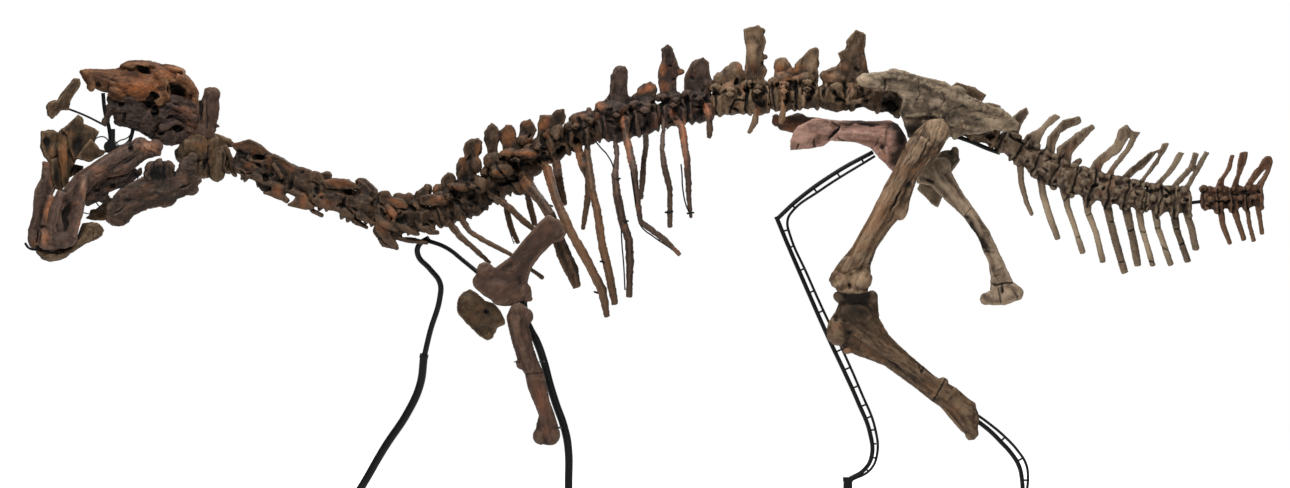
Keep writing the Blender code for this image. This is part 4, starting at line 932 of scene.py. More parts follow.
backLength("neck_middle", "neck", 0.048, [
    (307, 190, 15), (328, 197, 15), (350, 205, 16), (372, 211, 16),
], {
    "tone": "umber", "lean": -20,
    "leaves": [
        ([(312, 171), (318, 172), (324, 178), (321, 182), (312, 181)], 30, 40),
        ([(323, 181), (333, 179), (344, 179), (354, 183), (361, 189), (350, 190), (338, 189),
          (326, 188)], 44, 30),
        ([(355, 181), (359, 178), (365, 179), (377, 189), (377, 197), (372, 200), (361, 195)], 0, 34),
        ([(312, 196), (322, 193), (333, 195), (343, 209), (331, 210), (311, 205)], 52, 22),
    ],
    "knobs": [
        (327, 176, 0, 5, 5.5, 18), (362, 207, 20, 15, 14, 38, 20), (334, 197, 30, 13, 8, 30, 12),
        (322, 190, 20, 9, 9, 30, 10),
    ],
    "dents": [
        (316, 189, 5, 6.5, 34), (349, 192, 4.6, 4, 30), (343, 203, 3.4, 8, 16, 20), (374, 205, 4, 5, 22),
    ],
    "stain": [
        (316, 188, 6, 8, 0.6), (348, 193, 6, 5, 0.6), (366, 214, 12, 10, 0.35), (374, 205, 5, 6, 0.7),
    ],
    "tint": [(340, 183, 18, 4, 0.75, 8), (328, 203, 14, 5, 0.35), (320, 193, 3, 3, 0.8)],
})
backLength("neck_rear", "neck", 0.052, [(374, 212, 16), (394, 218, 16), (414, 221, 16), (434, 219, 15)], {
    "tone": "umber", "lean": -10,
    "leaves": [
        ([(378, 197), (382, 191), (388, 191), (393, 197), (403, 200), (409, 208), (397, 208), (388, 203),
          (380, 202)], 40, 36),
        ([(419, 196), (432, 194), (444, 197), (446, 203), (432, 206), (420, 204)], 50, 34),
        ([(376, 219), (388, 226), (392, 238), (398, 246), (393, 247), (384, 241), (375, 230)], 62, 24),
    ],
    "knobs": [
        (427, 190, 0, 6, 6.5, 18, 30), (419, 195, 0, 4.5, 5, 20), (409, 198, 10, 5, 6, 20),
        (399, 197, 10, 6, 4.5, 20), (424, 219, 20, 14, 14, 35), (394, 233, 30, 6, 8, 30, 20),
        (415, 204, 0, 7, 7, 30), (401, 222, 20, 13, 12, 40, 10),
    ],
    "spars": [
        ([(386, 205, 5, 58), (391, 211, 7, 64), (396, 218, 6, 64), (391, 228, 5, 62),
          (386, 236, 4, 60)], 0.6),
    ],
    "dents": [(403, 219, 9, 7, 24, 10), (412, 208, 6, 3, 22, 20), (381, 212, 3, 6, 16)],
    "stain": [(404, 219, 10, 9, 0.55), (413, 209, 8, 4, 0.6), (376, 205, 4, 7, 0.6), (432, 209, 8, 3, 0.6)],
    "tint": [
        (397, 203, 13, 4.5, 1.1, 22), (391, 214, 6, 9, 1.1, -20), (383, 228, 7, 8, 0.6),
        (436, 200, 11, 4, 0.8), (404, 196, 8, 4, 0.4),
    ],
    "bleach": [(427, 190, 6, 6, 0.5), (392, 211, 4, 5, 0.5)],
})
backLength("back_1", "front", 0.055, [(438, 216, 15), (461, 206, 16), (483, 194, 18)], {
    "tone": "umber",
    "knobs": [
        (449, 183, 0, 7.5, 10, 20, 12), (437, 191, 0, 4, 6.5, 18), (473, 149, 0, 10, 10.5, 22),
        (463, 170, 0, 7, 13, 22, 5), (476, 165, 14, 7, 9, 20), (459, 187, 50, 13, 5, 30, 8),
        (480, 185, 75, 8, 8.5, 30), (474, 203, 20, 15, 13, 45, -20), (456, 211, 20, 15, 11, 45, -20),
        (441, 200, 50, 9, 5, 30, 10),
    ],
    "dents": [
        (470, 196, 8, 4.5, 34, -30), (459, 196, 3.5, 3.5, 30), (471, 178, 4, 5, 20),
        (468, 158, 2, 6, 10, 20),
    ],
    "stain": [
        (472, 200, 11, 9, 0.75, -20), (459, 196, 4, 5, 0.8), (468, 178, 6, 4, 0.6), (484, 205, 10, 6, 0.5),
    ],
    "tint": [
        (478, 150, 5, 9, 0.9), (464, 163, 5, 12, 0.55), (441, 199, 10, 4, 0.7), (436, 190, 3, 5, 0.8),
        (458, 188, 12, 4, 0.35), (479, 160, 5, 6, 0.5),
    ],
    "bleach": [(480, 183, 7, 6, 0.35), (450, 183, 6, 6, 0.2)],
})
backLength("back_2", "front", 0.055, [(485, 192, 18), (506, 180, 17), (526, 167, 14)], {
    "tone": "umber",
    "knobs": [
        (492, 137, 0, 8, 13.5, 18, 4), (508.5, 137, 0, 8.5, 12, 20, 5), (528, 129, 0, 8.5, 10, 18, -25),
        (524.5, 140, 16, 8, 7, 22), (493, 161, 40, 11, 9.5, 30), (501, 171, 65, 13, 7, 40, -6),
        (500, 186, 20, 14, 11, 40, -15), (527, 154, 85, 14.5, 5, 45), (508, 154, 50, 10, 5.5, 35, -12),
        (528, 167, 20, 16, 11, 42, -8), (519, 188, 40, 8, 7, 20),
    ],
    "dents": [
        (503, 159, 5, 2.4, 30), (514, 164, 4, 7, 30, 20), (505, 183, 10, 4, 30, -10),
        (530.5, 136, 2, 2, 20), (530, 163, 8, 2.4, 26, -4),
    ],
    "stain": [
        (504, 184, 13, 7, 0.8, -10), (530, 165, 14, 7, 0.7), (514, 163, 5, 7, 0.7), (487, 142, 4, 12, 0.5),
        (521, 128, 3, 7, 0.5), (518, 180, 6, 8, 0.4),
    ],
    "tint": [
        (509, 137, 8, 13, 1.15), (527, 153, 14, 4, 1.2), (501, 173, 10, 4, 0.9), (530, 141, 5, 5, 0.5),
        (527, 123, 6, 5, 0.5), (507, 153, 10, 4, 0.7), (535, 165, 5, 10, 0.4), (525, 184, 7, 12, 0.5, 60),
    ],
    "bleach": [(494, 134, 5, 9, 0.4), (524, 140, 6, 5, 0.3), (509, 131, 4, 5, 0.3)],
})
backLength("back_3", "front", 0.055, [(528, 164, 13), (547, 152, 13), (566, 143, 14)], {
    "tone": "umber",
    "knobs": [
        (545, 126, 0, 7.5, 11, 20, 5), (558, 118, 0, 6.5, 9, 18, 20), (554, 140, 45, 9, 18, 35, 25),
        (556, 152, 10, 9, 9, 45), (538, 150, 30, 9, 9, 30),
    ],
    "dents": [(562, 150, 4, 6, 24, 20), (547, 160, 5, 3, 20), (544, 143, 2.4, 8, 14, 30)],
    "stain": [
        (557, 119, 5, 9, 0.6, -20), (560, 153, 8, 7, 0.7), (545, 160, 8, 5, 0.7), (566, 134, 4, 8, 0.7),
    ],
    "tint": [
        (545, 124, 6, 9, 1), (545, 136, 5, 6, 0.4), (548, 180, 8, 40, 0.55), (555, 165, 8, 10, 0.5),
        (580, 252, 70, 10, 0.3, 66),
    ],
    "bleach": [(556, 134, 3.5, 16, 0.35, 25), (580, 252, 70, 10, 0.9, 66), (602, 240, 66, 6, 0.55, 80)],
})
backLength("back_4", "front", 0.055, [(568, 141, 13), (583, 134, 13), (598, 130, 14)], {
    "tone": "umber",
    "knobs": [
        (576, 121, 12, 7.5, 7.5, 30), (584, 117, 10, 6, 6.5, 20), (589, 114, 0, 3.6, 7, 14),
        (598, 117, 12, 7, 9, 25, 12), (586, 133, 30, 15, 12.5, 45, 8), (571, 135, 40, 6, 10, 30),
    ],
    "dents": [(567, 136, 3, 7, 20), (576, 141, 3, 5, 18, 20), (596, 128, 2.4, 6, 12)],
    "stain": [(567, 136, 5, 9, 0.7), (586, 142, 16, 5, 0.5), (601, 128, 4, 10, 0.5)],
    "tint": [
        (582, 115, 8, 4, 0.6), (576, 122, 6, 5, 0.35), (599, 116, 6, 6, 0.35), (578, 158, 6, 16, 0.75),
        (590, 112, 3, 4, 0.4), (602, 240, 66, 7, 0.3, 80),
    ],
    "bleach": [(577, 160, 4, 12, 0.4), (602, 240, 66, 7, 0.6, 80)],
})
backLength("back_5", "back", 0.06, [(601, 127, 16), (633, 123, 16), (659, 117, 15)], {
    "tone": "dark",
    "knobs": [
        (617, 127, 0, 15.5, 16, 55, -4), (614, 109, 20, 16, 8, 45, -4), (602, 109, 15, 7, 8, 30, -20),
        (646, 121, 0, 13, 14.5, 55), (646, 107, 20, 12, 7, 40), (618, 90, 0, 9, 13, 13, 5),
        (620, 73, 0, 8, 7, 12), (646, 91, 0, 11, 8, 16, -30), (636, 99, 0, 6, 6, 22),
    ],
    "dents": [(632, 126, 2.4, 12, 20, 6), (654, 102, 4, 3, 20), (643, 128, 4, 4, 14), (609, 97, 2, 5, 8)],
    "stain": [
        (616, 136, 12, 9, 0.45), (647, 125, 12, 10, 0.45), (632, 122, 4, 14, 0.8), (608, 80, 3, 8, 0.3),
    ],
    "tint": [
        (601, 106, 7, 6, 0.7), (622, 122, 3.5, 14, 0.8), (628, 150, 4, 24, 0.55),
        (644, 90, 10, 4, 0.7, -30), (650, 87, 6, 4, 0.6), (678, 250, 8, 8, 0.3),
    ],
    "bleach": [
        (619, 78, 7, 12, 0.35), (617, 96, 8, 8, 0.2), (679, 256, 6, 5, 0.6), (622, 124, 3.5, 14, 0.3),
        (629, 160, 4, 20, 0.2),
    ],
})
backLength("back_6", "back", 0.06, [(661, 115, 14), (687, 112, 14), (713, 107, 14)], {
    "tone": "dark",
    "knobs": [
        (670, 113, 0, 16, 13.5, 55, 5), (667, 57, 0, 5.5, 9, 13, -12), (664, 74, 0, 6.5, 9, 14, 12),
        (668, 87, 0, 8.5, 9, 18), (680, 72, 0, 5, 4, 11, -10), (674, 60, 0, 3, 8, 10, -15),
        (700, 109, 0, 14.5, 14.5, 55), (698, 71, 0, 10, 12, 15, 12), (693, 85, 0, 10, 9, 20),
        (708, 84, 10, 6, 6, 20), (697, 97, 20, 12, 7, 40),
    ],
    "dents": [
        (671, 66, 3, 2, 12), (674, 79, 3, 2.4, 12), (687, 100, 2.4, 10, 24), (662, 103, 5, 3, 16),
        (692, 78, 4, 2, 10, 30), (703, 90, 3, 3, 12),
    ],
    "stain": [
        (666, 53, 5, 6, 0.5), (687, 108, 4, 14, 0.85), (672, 118, 12, 6, 0.4), (700, 116, 10, 8, 0.45),
        (676, 82, 4, 4, 0.4),
    ],
    "tint": [
        (663, 70, 5, 9, 1), (664, 86, 6, 7, 0.55), (674, 116, 4, 12, 0.9, -25), (684, 130, 5, 16, 0.6),
        (707, 110, 4, 12, 0.8, -15), (684, 150, 5, 30, 0.4), (681, 71, 5, 3, 0.4),
    ],
    "bleach": [
        (700, 68, 9, 10, 0.25), (707, 122, 4, 14, 0.5), (670, 90, 4, 6, 0.2), (677, 122, 4, 12, 0.35, -20),
        (685, 145, 4, 24, 0.25),
    ],
})
backLength("back_7", "back", 0.06, [(715, 104, 13), (746, 102, 14), (771, 100, 15)], {
    "tone": "brown",
    "knobs": [
        (729, 96, 0, 17, 17.5, 55), (733, 77, 0, 13, 12, 30), (721, 79, 16, 7, 7, 24),
        (735, 67, 0, 6, 5, 18), (759, 101, 0, 13.5, 15, 55), (755, 44, 0, 10, 17, 16, -4),
        (756, 67, 0, 9, 9, 22), (754, 78, 0, 7, 7, 22), (764, 71, 10, 3.4, 5, 14), (765, 57, 6, 3, 3, 12),
        (762, 31, 0, 4, 4, 12),
    ],
    "dents": [(737, 82, 4, 4.4, 30), (747, 92, 2.2, 14, 20), (763, 64, 3, 3, 14), (752, 84, 6, 2, 12)],
    "cracks": [
        ([(729, 115), (731, 105), (734, 101), (744, 100)], 1.7, 9), ([(771, 92), (772, 112)], 1.8, 8),
    ],
    "stain": [
        (737, 82, 5, 5, 0.9), (759, 104, 12, 12, 0.65), (747, 100, 3.5, 14, 0.8), (757, 68, 8, 9, 0.55),
        (764, 60, 4, 14, 0.4), (716, 96, 3, 14, 0.5),
    ],
    "tint": [
        (728, 84, 10, 7, 0.55), (740, 68, 6, 6, 0.5), (758, 108, 3.4, 14, 0.8), (753, 66, 6, 6, 0.6),
        (743, 90, 4, 8, 0.4),
    ],
    "bleach": [
        (726, 84, 12, 9, 0.45), (735, 68, 6, 5, 0.35), (728, 104, 12, 10, 0.25), (752, 50, 7, 14, 0.85),
        (754, 33, 8, 7, 0.45), (742, 108, 5, 5, 0.3),
    ],
})
backLength("back_8", "back", 0.06, [(773, 99, 14), (796, 96, 14), (820, 95, 14)], {
    "tone": "brown",
    "knobs": [
        (784, 98, 0, 12, 14.5, 50), (784, 80, 12, 12, 9, 40), (780, 66, 0, 7, 9, 20),
        (796, 85, 0, 6, 7, 35), (791, 73, 6, 5.5, 6, 22), (808, 95, 0, 12, 14.5, 50),
        (806, 79, 12, 11, 7, 40), (798, 67, 0, 3.4, 5, 14), (811, 65, 0, 8, 11, 14, 20),
    ],
    "twins": [
        ([(780, 82, 5, 70), (783, 88, 6, 94), (784, 97, 5, 98), (782, 112, 4.5, 98),
          (781, 123, 4, 94)], 0.8),
        ([(806, 83, 4, 62), (805, 95, 4, 68), (803, 107, 3.5, 60)], 0.8),
    ],
    "dents": [(796, 90, 2.2, 12, 22), (790, 84, 3, 3, 14), (812, 92, 3, 8, 14), (787, 96, 2, 8, 12)],
    "stain": [
        (796, 94, 3.5, 14, 0.75), (776, 95, 3, 12, 0.5), (816, 100, 5, 8, 0.4), (792, 100, 4, 8, 0.4),
    ],
    "tint": [
        (780, 68, 6, 9, 0.9), (783, 100, 4, 26, 0.55), (797, 68, 3.5, 5, 0.8), (789, 79, 8, 5, 0.5),
        (800, 76, 6, 4, 0.5), (776, 86, 4, 8, 0.4),
    ],
    "bleach": [
        (811, 63, 8, 12, 0.8), (783, 106, 4, 22, 0.6), (804, 96, 3, 12, 0.6), (782, 62, 5, 5, 0.35),
        (812, 84, 6, 4, 0.3),
    ],
})
backLength("sacrum_front", "hip", 0.062, [(822, 96, 14), (850, 96, 14), (877, 98, 14), (903, 106, 14)], {
    "tone": "brown",
    "knobs": [
        (838, 74, 0, 13, 8, 20), (826, 76, 0, 7, 6, 20), (852, 52, 0, 8, 16, 14, 20),
        (846, 68, 0, 10, 8, 20), (836, 98, 10, 14, 14, 45),
    ],
    "twins": [
        ([(838, 85, 4, 70), (840, 92, 5, 80), (843, 98, 4, 76)], 0.7),
        ([(850, 83, 5, 70), (853, 92, 5, 82), (847, 101, 5, 80)], 0.7),
        ([(846, 102, 5, 78), (859, 102, 5, 82), (875, 93, 4, 70)], 0.7),
    ],
    "dents": [
        (845.5, 88, 2.4, 7, 30), (861, 90, 4, 5, 30), (824, 92, 4, 8, 20), (857, 70, 5, 4, 14),
        (890, 104, 9, 9, 30),
    ],
    "stain": [
        (845.5, 88, 3, 7, 0.9), (861, 90, 4, 5, 1), (824, 94, 5, 9, 0.5), (890, 104, 13, 14, 1),
        (858, 76, 8, 6, 0.35), (850, 107, 20, 3, 0.4, 6),
    ],
    "tint": [(829, 77, 7, 5, 0.4), (845, 66, 6, 8, 0.3), (851, 86, 4, 8, 0.35)],
    "bleach": [
        (836, 76, 10, 6, 0.25), (840, 92, 3, 7, 0.3), (853, 94, 3, 7, 0.45), (864, 99, 11, 3, 0.35, -20),
        (853, 48, 5, 12, 0.25, 20),
    ],
})
backLength("sacrum_rear", "hip", 0.058, [
    (906, 107, 13), (930, 113, 13), (955, 122, 12), (978, 131, 12), (998, 138, 12),
], {
    "tone": "brown",
})
backLength("tail_1", "tail", 0.05, [
    (1001, 141, 12), (1019, 151, 13), (1037, 163, 14), (1055, 173, 15), (1073, 181, 15),
], {
    "tone": "sand",
    "bleach": [
        (1047, 212, 30, 7, 1.3, 70), (1074, 228, 32, 7, 1.3, 70), (1012, 148, 8, 7, 0.3),
        (1045, 126, 22, 9, 0.6, -40),
    ],
    "cracks": [([(1063, 203), (1070, 196)], 1.2, 4), ([(1076, 238), (1082, 238)], 1.2, 5)],
})
backLength("tail_2", "tail", 0.046, [
    (1075, 182, 15), (1092, 188, 15), (1109, 192, 15), (1126, 195, 14), (1143, 198, 14),
], {
    "tone": "sand",
    "bleach": [
        (1095, 234, 32, 7, 1.4, 72), (1116, 240, 26, 4, 0.1, 74), (1146, 240, 28, 6, 1.3, 75),
        (1118, 148, 28, 12, 0.6, -50), (1085, 135, 20, 8, 0.5, -50),
    ],
    "stain": [
        (1109, 208, 8, 6, 0.5), (1123, 213, 7, 6, 0.4), (1117, 240, 34, 6, 0.25, 74),
        (1134, 240, 30, 4, 0.3, 74),
    ],
    "cracks": [
        ([(1087, 215), (1093, 213)], 1.2, 5), ([(1109, 222), (1117, 220)], 1.2, 5),
        ([(1118, 262), (1126, 262)], 1.2, 5), ([(1128, 230), (1134, 230)], 1.2, 5),
        ([(1139, 231), (1147, 231)], 1.2, 5), ([(1148, 262), (1154, 262)], 1.2, 5),
    ],
})
backLength("tail_3", "tail", 0.04, [
    (1146, 199, 13.5), (1160, 201, 14), (1176, 203, 13.5), (1191, 203, 13),
], {
    "tone": "sand",
    "bleach": [(1163, 240, 28, 6, 1.2, 72), (1192, 232, 20, 5, 0.2, 75), (1176, 165, 26, 10, 0.5, -55)],
    "stain": [(1173, 222, 7, 7, 0.5), (1182, 240, 30, 7, 0.35, 72)],
    "cracks": [
        ([(1156, 230), (1164, 228)], 1.2, 5), ([(1162, 248), (1168, 250)], 1.2, 5),
        ([(1174, 230), (1182, 230)], 1.2, 5), ([(1179, 246), (1186, 244)], 1.2, 5),
    ],
})
backLength("tail_4", "tail", 0.03, [
    (1204, 201, 11), (1218, 201, 11), (1233, 200, 10.5), (1247, 199, 10), (1262, 198, 9),
], {
    "tone": "red",
})
print("backbone done")


def limb(node, bone):
    fossil(node, {"voxel": 5.2, "smooth": 14, "grime": 0.6, **listed(bone)})


limb("ilium_left", {
    "tone": "grey", "lean": -16, "stretch": 0.95, "relief": (6, 5, 3.4, 1.2),
    "knobs": [
        (938, 107, 150, 12, 9, 26, 25), (905, 84, 150, 20, 8, 18, 8), (868, 79, 150, 9, 5, 16),
        (958, 124, 150, 11, 8, 22, 10), (948, 130, 140, 6, 8, 22, -20), (912, 108, 145, 9, 9, 18),
        (893, 72, 140, 5, 3, 14), (960, 91, 140, 7, 4, 14, 25), (1000, 112, 140, 8, 4, 14, 20),
        (923, 121, 120, 8, 6, 20),
    ],
    "spars": [
        ([(862, 79, 6, 155), (890, 76, 6, 160), (925, 83, 7, 160), (955, 97, 8, 160), (985, 109, 8, 158),
          (1010, 119, 6, 150)], 0.6),
        ([(934, 112, 7, 160), (952, 124, 7, 165), (975, 129, 6, 160), (1000, 127, 5, 150)], 0.6),
        ([(904, 108, 14, 125), (912, 119, 19, 120), (914, 128, 16, 115), (914, 137, 11, 110)], 0.6),
    ],
    "dents": [
        (930, 95, 10, 7, 5, 20), (895, 90, 12, 4, 4, 10), (943, 120, 3, 7, 8), (972, 118, 12, 4, 5, 15),
        (905, 112, 8, 8, 6),
    ],
    "tint": [(866, 82, 12, 6, 0.25)],
    "bleach": [
        (868, 80, 16, 6, 0.6, 5), (905, 92, 22, 9, 0.35, 25), (990, 120, 26, 6, 0.4, 12),
        (938, 104, 10, 5, 0.3, 25),
    ],
    "stain": [
        (930, 99, 10, 6, 0.15, 20), (946, 120, 6, 10, 0.4), (903, 108, 7, 11, 0.45), (1012, 125, 7, 5, 0.3),
        (913, 130, 16, 11, 1),
    ],
    "cracks": [
        ([(920, 74), (918, 84), (921, 94), (916, 102)], 0.9, 3), ([(885, 80), (884, 92)], 1.3, 6),
        ([(941, 92), (946, 98), (940, 106), (930, 111)], 0.9, 2.5),
        ([(960, 137), (965, 127), (962, 117)], 0.8, 2), ([(924, 86), (934, 90), (944, 88)], 0.7, 1.8),
        ([(950, 110), (962, 107), (972, 112), (988, 113)], 0.9, 2.5),
        ([(900, 96), (912, 101), (926, 100)], 0.8, 2), ([(974, 122), (982, 116), (996, 119)], 0.8, 2),
        ([(930, 112), (938, 120), (936, 130)], 0.9, 2.5),
    ],
})
limb("ilium_right", {
    "tone": "grey", "lean": -16,
    "spars": [([(862, 79, 7, -150), (900, 80, 8, -155), (950, 96, 8, -155), (1005, 117, 6, -150)], 0.6)],
    "knobs": [(936, 106, -150, 12, 10, 20, 20)],
})
limb("pubis_left", {
    "tone": "pink", "lean": -4,
    "knobs": [
        (806, 136, 140, 14, 13, 18), (818, 127, 140, 11, 9, 18), (894, 140, 140, 10, 16, 26),
        (797, 144, 130, 7, 6, 18), (828, 129, 140, 6, 8, 16, 20),
    ],
    "spars": [
        ([(838, 133, 11, 145), (862, 134, 12, 150), (885, 136, 15, 150)], 0.5),
        ([(884, 148, 14, 140), (888, 160, 9, 138), (893, 168, 5, 135)], 0.7),
        ([(897, 150, 8, 120), (899, 158, 11, 120), (898, 170, 8, 120)], 0.7),
    ],
    "dents": [(835, 132, 10, 1.8, 14, -55), (862, 124, 30, 2.2, 7, 1), (884, 150, 3, 8, 8, -30)],
    "bleach": [
        (803, 138, 12, 10, 0.45), (822, 128, 9, 6, 0.35), (860, 133, 26, 3, 0.45, 2), (840, 139, 7, 3, 0.4),
    ],
    "tint": [(884, 157, 6, 9, 0.6), (893, 125, 8, 4, 0.3), (870, 140, 20, 5, 0.25)],
    "stain": [
        (866, 122, 38, 4.2, 0.8), (901, 138, 12, 20, 1), (893, 126, 11, 7, 0.8), (793, 148, 4, 5, 0.5),
        (896, 160, 9, 13, 0.9),
    ],
    "cracks": [
        ([(832, 122), (839, 126), (833, 133), (830, 140)], 1.3, 6), ([(798, 144), (797, 151)], 1.2, 5),
        ([(814, 140), (815, 149)], 1.2, 5), ([(838, 137), (846, 143)], 1, 4),
        ([(872, 148), (879, 140)], 1, 3),
    ],
})
limb("pubis_right", {
    "tone": "dark", "lean": 10,
    "knobs": [(792, 123, -120, 14, 8, 20, -10), (800, 119, -120, 7, 6, 18), (777, 121, -120, 5, 6, 14)],
    "tint": [(780, 120, 10, 6, 0.5), (795, 127, 16, 7, 0.45), (790, 132, 12, 4, 0.3)],
})
limb("ischium_left", {
    "tone": "stone", "lean": -58,
    "knobs": [
        (930, 171, 70, 13, 12, 22), (994, 297, 60, 9, 7, 26), (1009, 292, 60, 10, 8, 26),
        (985, 299, 60, 5, 6, 22), (1018, 293, 60, 5, 6, 24), (942, 166, 70, 8, 9, 22),
    ],
    "spars": [
        ([(930, 168, 13, 80), (950, 190, 11, 80), (970, 216, 10, 80), (989, 242, 10, 76),
          (1000, 268, 12, 75)], 0.55),
    ],
    "dents": [(976, 236, 17, 3.4, 16, 58), (928, 180, 8, 3, 10, 30), (1002, 290, 2, 8, 10)],
    "bleach": [
        (945, 186, 20, 5, 0.45, 52), (968, 208, 16, 4, 0.4, 52), (1003, 294, 16, 8, 0.35),
        (998, 262, 14, 4, 0.35, 66),
    ],
    "stain": [
        (972, 226, 14, 5, 1, 58), (983, 243, 16, 6, 1.2, 62), (967, 217, 4, 3, 0.7), (984, 297, 4, 5, 0.7),
    ],
    "cracks": [
        ([(964, 216), (971, 208)], 0.9, 3), ([(982, 252), (995, 252)], 0.9, 3),
        ([(989, 284), (1002, 285), (1013, 282)], 1.4, 7), ([(999, 288), (1001, 304)], 1, 4),
        ([(1011, 288), (1018, 300)], 1, 4), ([(989, 277), (1000, 274)], 0.9, 3),
    ],
})
limb("ischium_right", {
    "tone": "grey",
    "knobs": [(949, 156, -50, 10, 6, 24, 10), (955, 152, -50, 4, 5, 20)],
    "spars": [([(918, 187, 6, -60), (930, 193, 7, -60), (937, 206, 6, -60)], 0.6)],
    "bleach": [(928, 193, 12, 6, 0.3, 40)],
    "stain": [(950, 156, 14, 9, 0.8), (944, 202, 6, 8, 0.6)],
})
limb("femur_left", {
    "tone": "tan", "lean": 59, "stretch": 0.22, "relief": (6, 4.5, 2.6, 1.1),
    "knobs": [
        (937, 131, 235, 12, 14, 36, -55), (918, 148, 235, 13, 13, 34, -40), (903, 207, 220, 6, 14, 26, 14),
        (842, 279, 235, 12, 11, 45, -20), (859, 279, 235, 13, 13, 48, 10), (852, 290, 225, 17, 6, 45, 6),
        (848, 268, 235, 10, 14, 44, 25),
    ],
    "spars": [
        ([(926, 140, 14, 256), (909, 162, 12, 254), (896, 186, 11, 250), (879, 218, 11, 248),
          (862, 248, 12, 250), (852, 272, 14, 262)], 0.5),
    ],
    "dents": [
        (895, 200, 20, 1.8, 10, 113), (924, 150, 16, 1.8, 7, 118), (849, 286, 3, 5, 6, 10),
        (909, 186, 4, 5, 10), (871, 262, 5, 8, 6, 20),
    ],
    "bleach": [
        (936, 132, 17, 12, 0.6, 125), (915, 152, 14, 8, 0.4, 125), (857, 280, 15, 9, 0.4),
        (866, 262, 6, 14, 0.25), (900, 214, 6, 10, 0.25), (884, 196, 30, 3, 0.3, 117),
        (838, 284, 6, 4, 0.3),
    ],
    "tint": [
        (880, 212, 36, 9, 0.5, 118), (903, 172, 12, 8, 0.3), (862, 246, 14, 8, 0.4), (838, 276, 8, 9, 0.3),
    ],
    "stain": [
        (905, 196, 14, 4, 0.5, 112), (866, 218, 36, 3.5, 0.4, 120), (832, 276, 4, 9, 0.6),
        (896, 172, 6, 12, 0.3), (908, 184, 5, 6, 0.6), (854, 295, 14, 2.5, 0.6),
        (914, 138, 4, 12, 0.35, 30), (842, 262, 8, 4, 0.4, 20),
    ],
    "cracks": [
        ([(926, 122), (915, 146), (904, 166)], 0.8, 2.5),
        ([(940, 121), (937, 138), (926, 156), (916, 168)], 0.8, 3),
        ([(933, 120), (929, 140), (920, 156)], 0.7, 2), ([(948, 132), (940, 146), (930, 158)], 0.8, 2.5),
        ([(834, 270), (846, 273), (858, 268), (871, 262)], 0.8, 2),
        ([(860, 270), (856, 282), (858, 291)], 0.8, 2), ([(912, 178), (900, 202), (889, 222)], 0.9, 3),
        ([(905, 158), (893, 184), (878, 214)], 0.7, 1.5),
    ],
})
limb("tibia_left", {
    "tone": "brown", "lean": -38, "stretch": 0.25, "relief": (6, 4.5, 2.6, 1.1),
    "knobs": [
        (841, 298, 220, 8, 6, 45, 25), (872, 297, 230, 6, 7, 45), (856, 297, 215, 17, 6, 50),
        (838, 331, 245, 12, 15, 42, -10), (856, 314, 250, 17, 12, 35, 10), (935, 396, 220, 7, 6, 32, 20),
        (943, 382, 225, 5, 5, 30), (966, 410, 230, 11, 10, 36, 40), (972, 424, 222, 6, 16, 32, 10),
        (848, 350, 225, 5, 4, 30), (960, 406, 222, 10, 10, 36),
    ],
    "spars": [
        ([(846, 322, 16, 256), (868, 338, 15, 254), (898, 358, 13, 245), (925, 378, 12, 243),
          (950, 396, 13, 246)], 0.5),
        ([(950, 392, 14, 235), (962, 406, 16, 235), (972, 424, 12, 232)], 0.55),
    ],
    "dents": [
        (850, 332, 8, 4, 8, 20), (893, 364, 20, 2.4, 6, 35), (922, 370, 2.4, 5, 10, 20),
        (858, 303, 14, 1.8, 10), (836, 318, 4, 5, 10),
    ],
    "bleach": [
        (836, 334, 7, 9, 0.22), (888, 346, 28, 3, 0.22, 38), (960, 406, 14, 7, 0.22, 40),
        (872, 322, 8, 10, 0.12), (968, 400, 8, 3, 0.3, 40),
    ],
    "leaves": [([(944, 382), (975.5, 404), (976.5, 430), (974, 439), (962, 430), (937, 402)], 215, 34)],
    "stain": [
        (857, 296, 28, 11, 1.3), (856, 312, 24, 14, 0.8), (905, 382, 30, 3, 0.4, 38), (935, 400, 8, 5, 0.7),
        (925, 380, 10, 5, 0.25, 38), (975, 438, 5, 6, 0.4), (852, 326, 12, 6, 0.3),
        (905, 352, 26, 2, 0.3, 38),
    ],
    "tint": [
        (862, 346, 26, 4, 0.25, 25), (930, 388, 12, 6, 0.3, 35), (848, 350, 12, 3, 0.3, 15),
        (955, 412, 10, 6, 0.25, 40),
    ],
    "cracks": [
        ([(917, 360), (921, 371), (927, 368)], 1, 4), ([(945, 379), (938, 390), (933, 402)], 1.1, 5),
        ([(866, 358), (886, 356), (906, 366)], 0.7, 2), ([(858, 328), (880, 344), (902, 358)], 0.7, 2),
        ([(862, 338), (858, 350), (864, 357)], 0.7, 2),
    ],
})
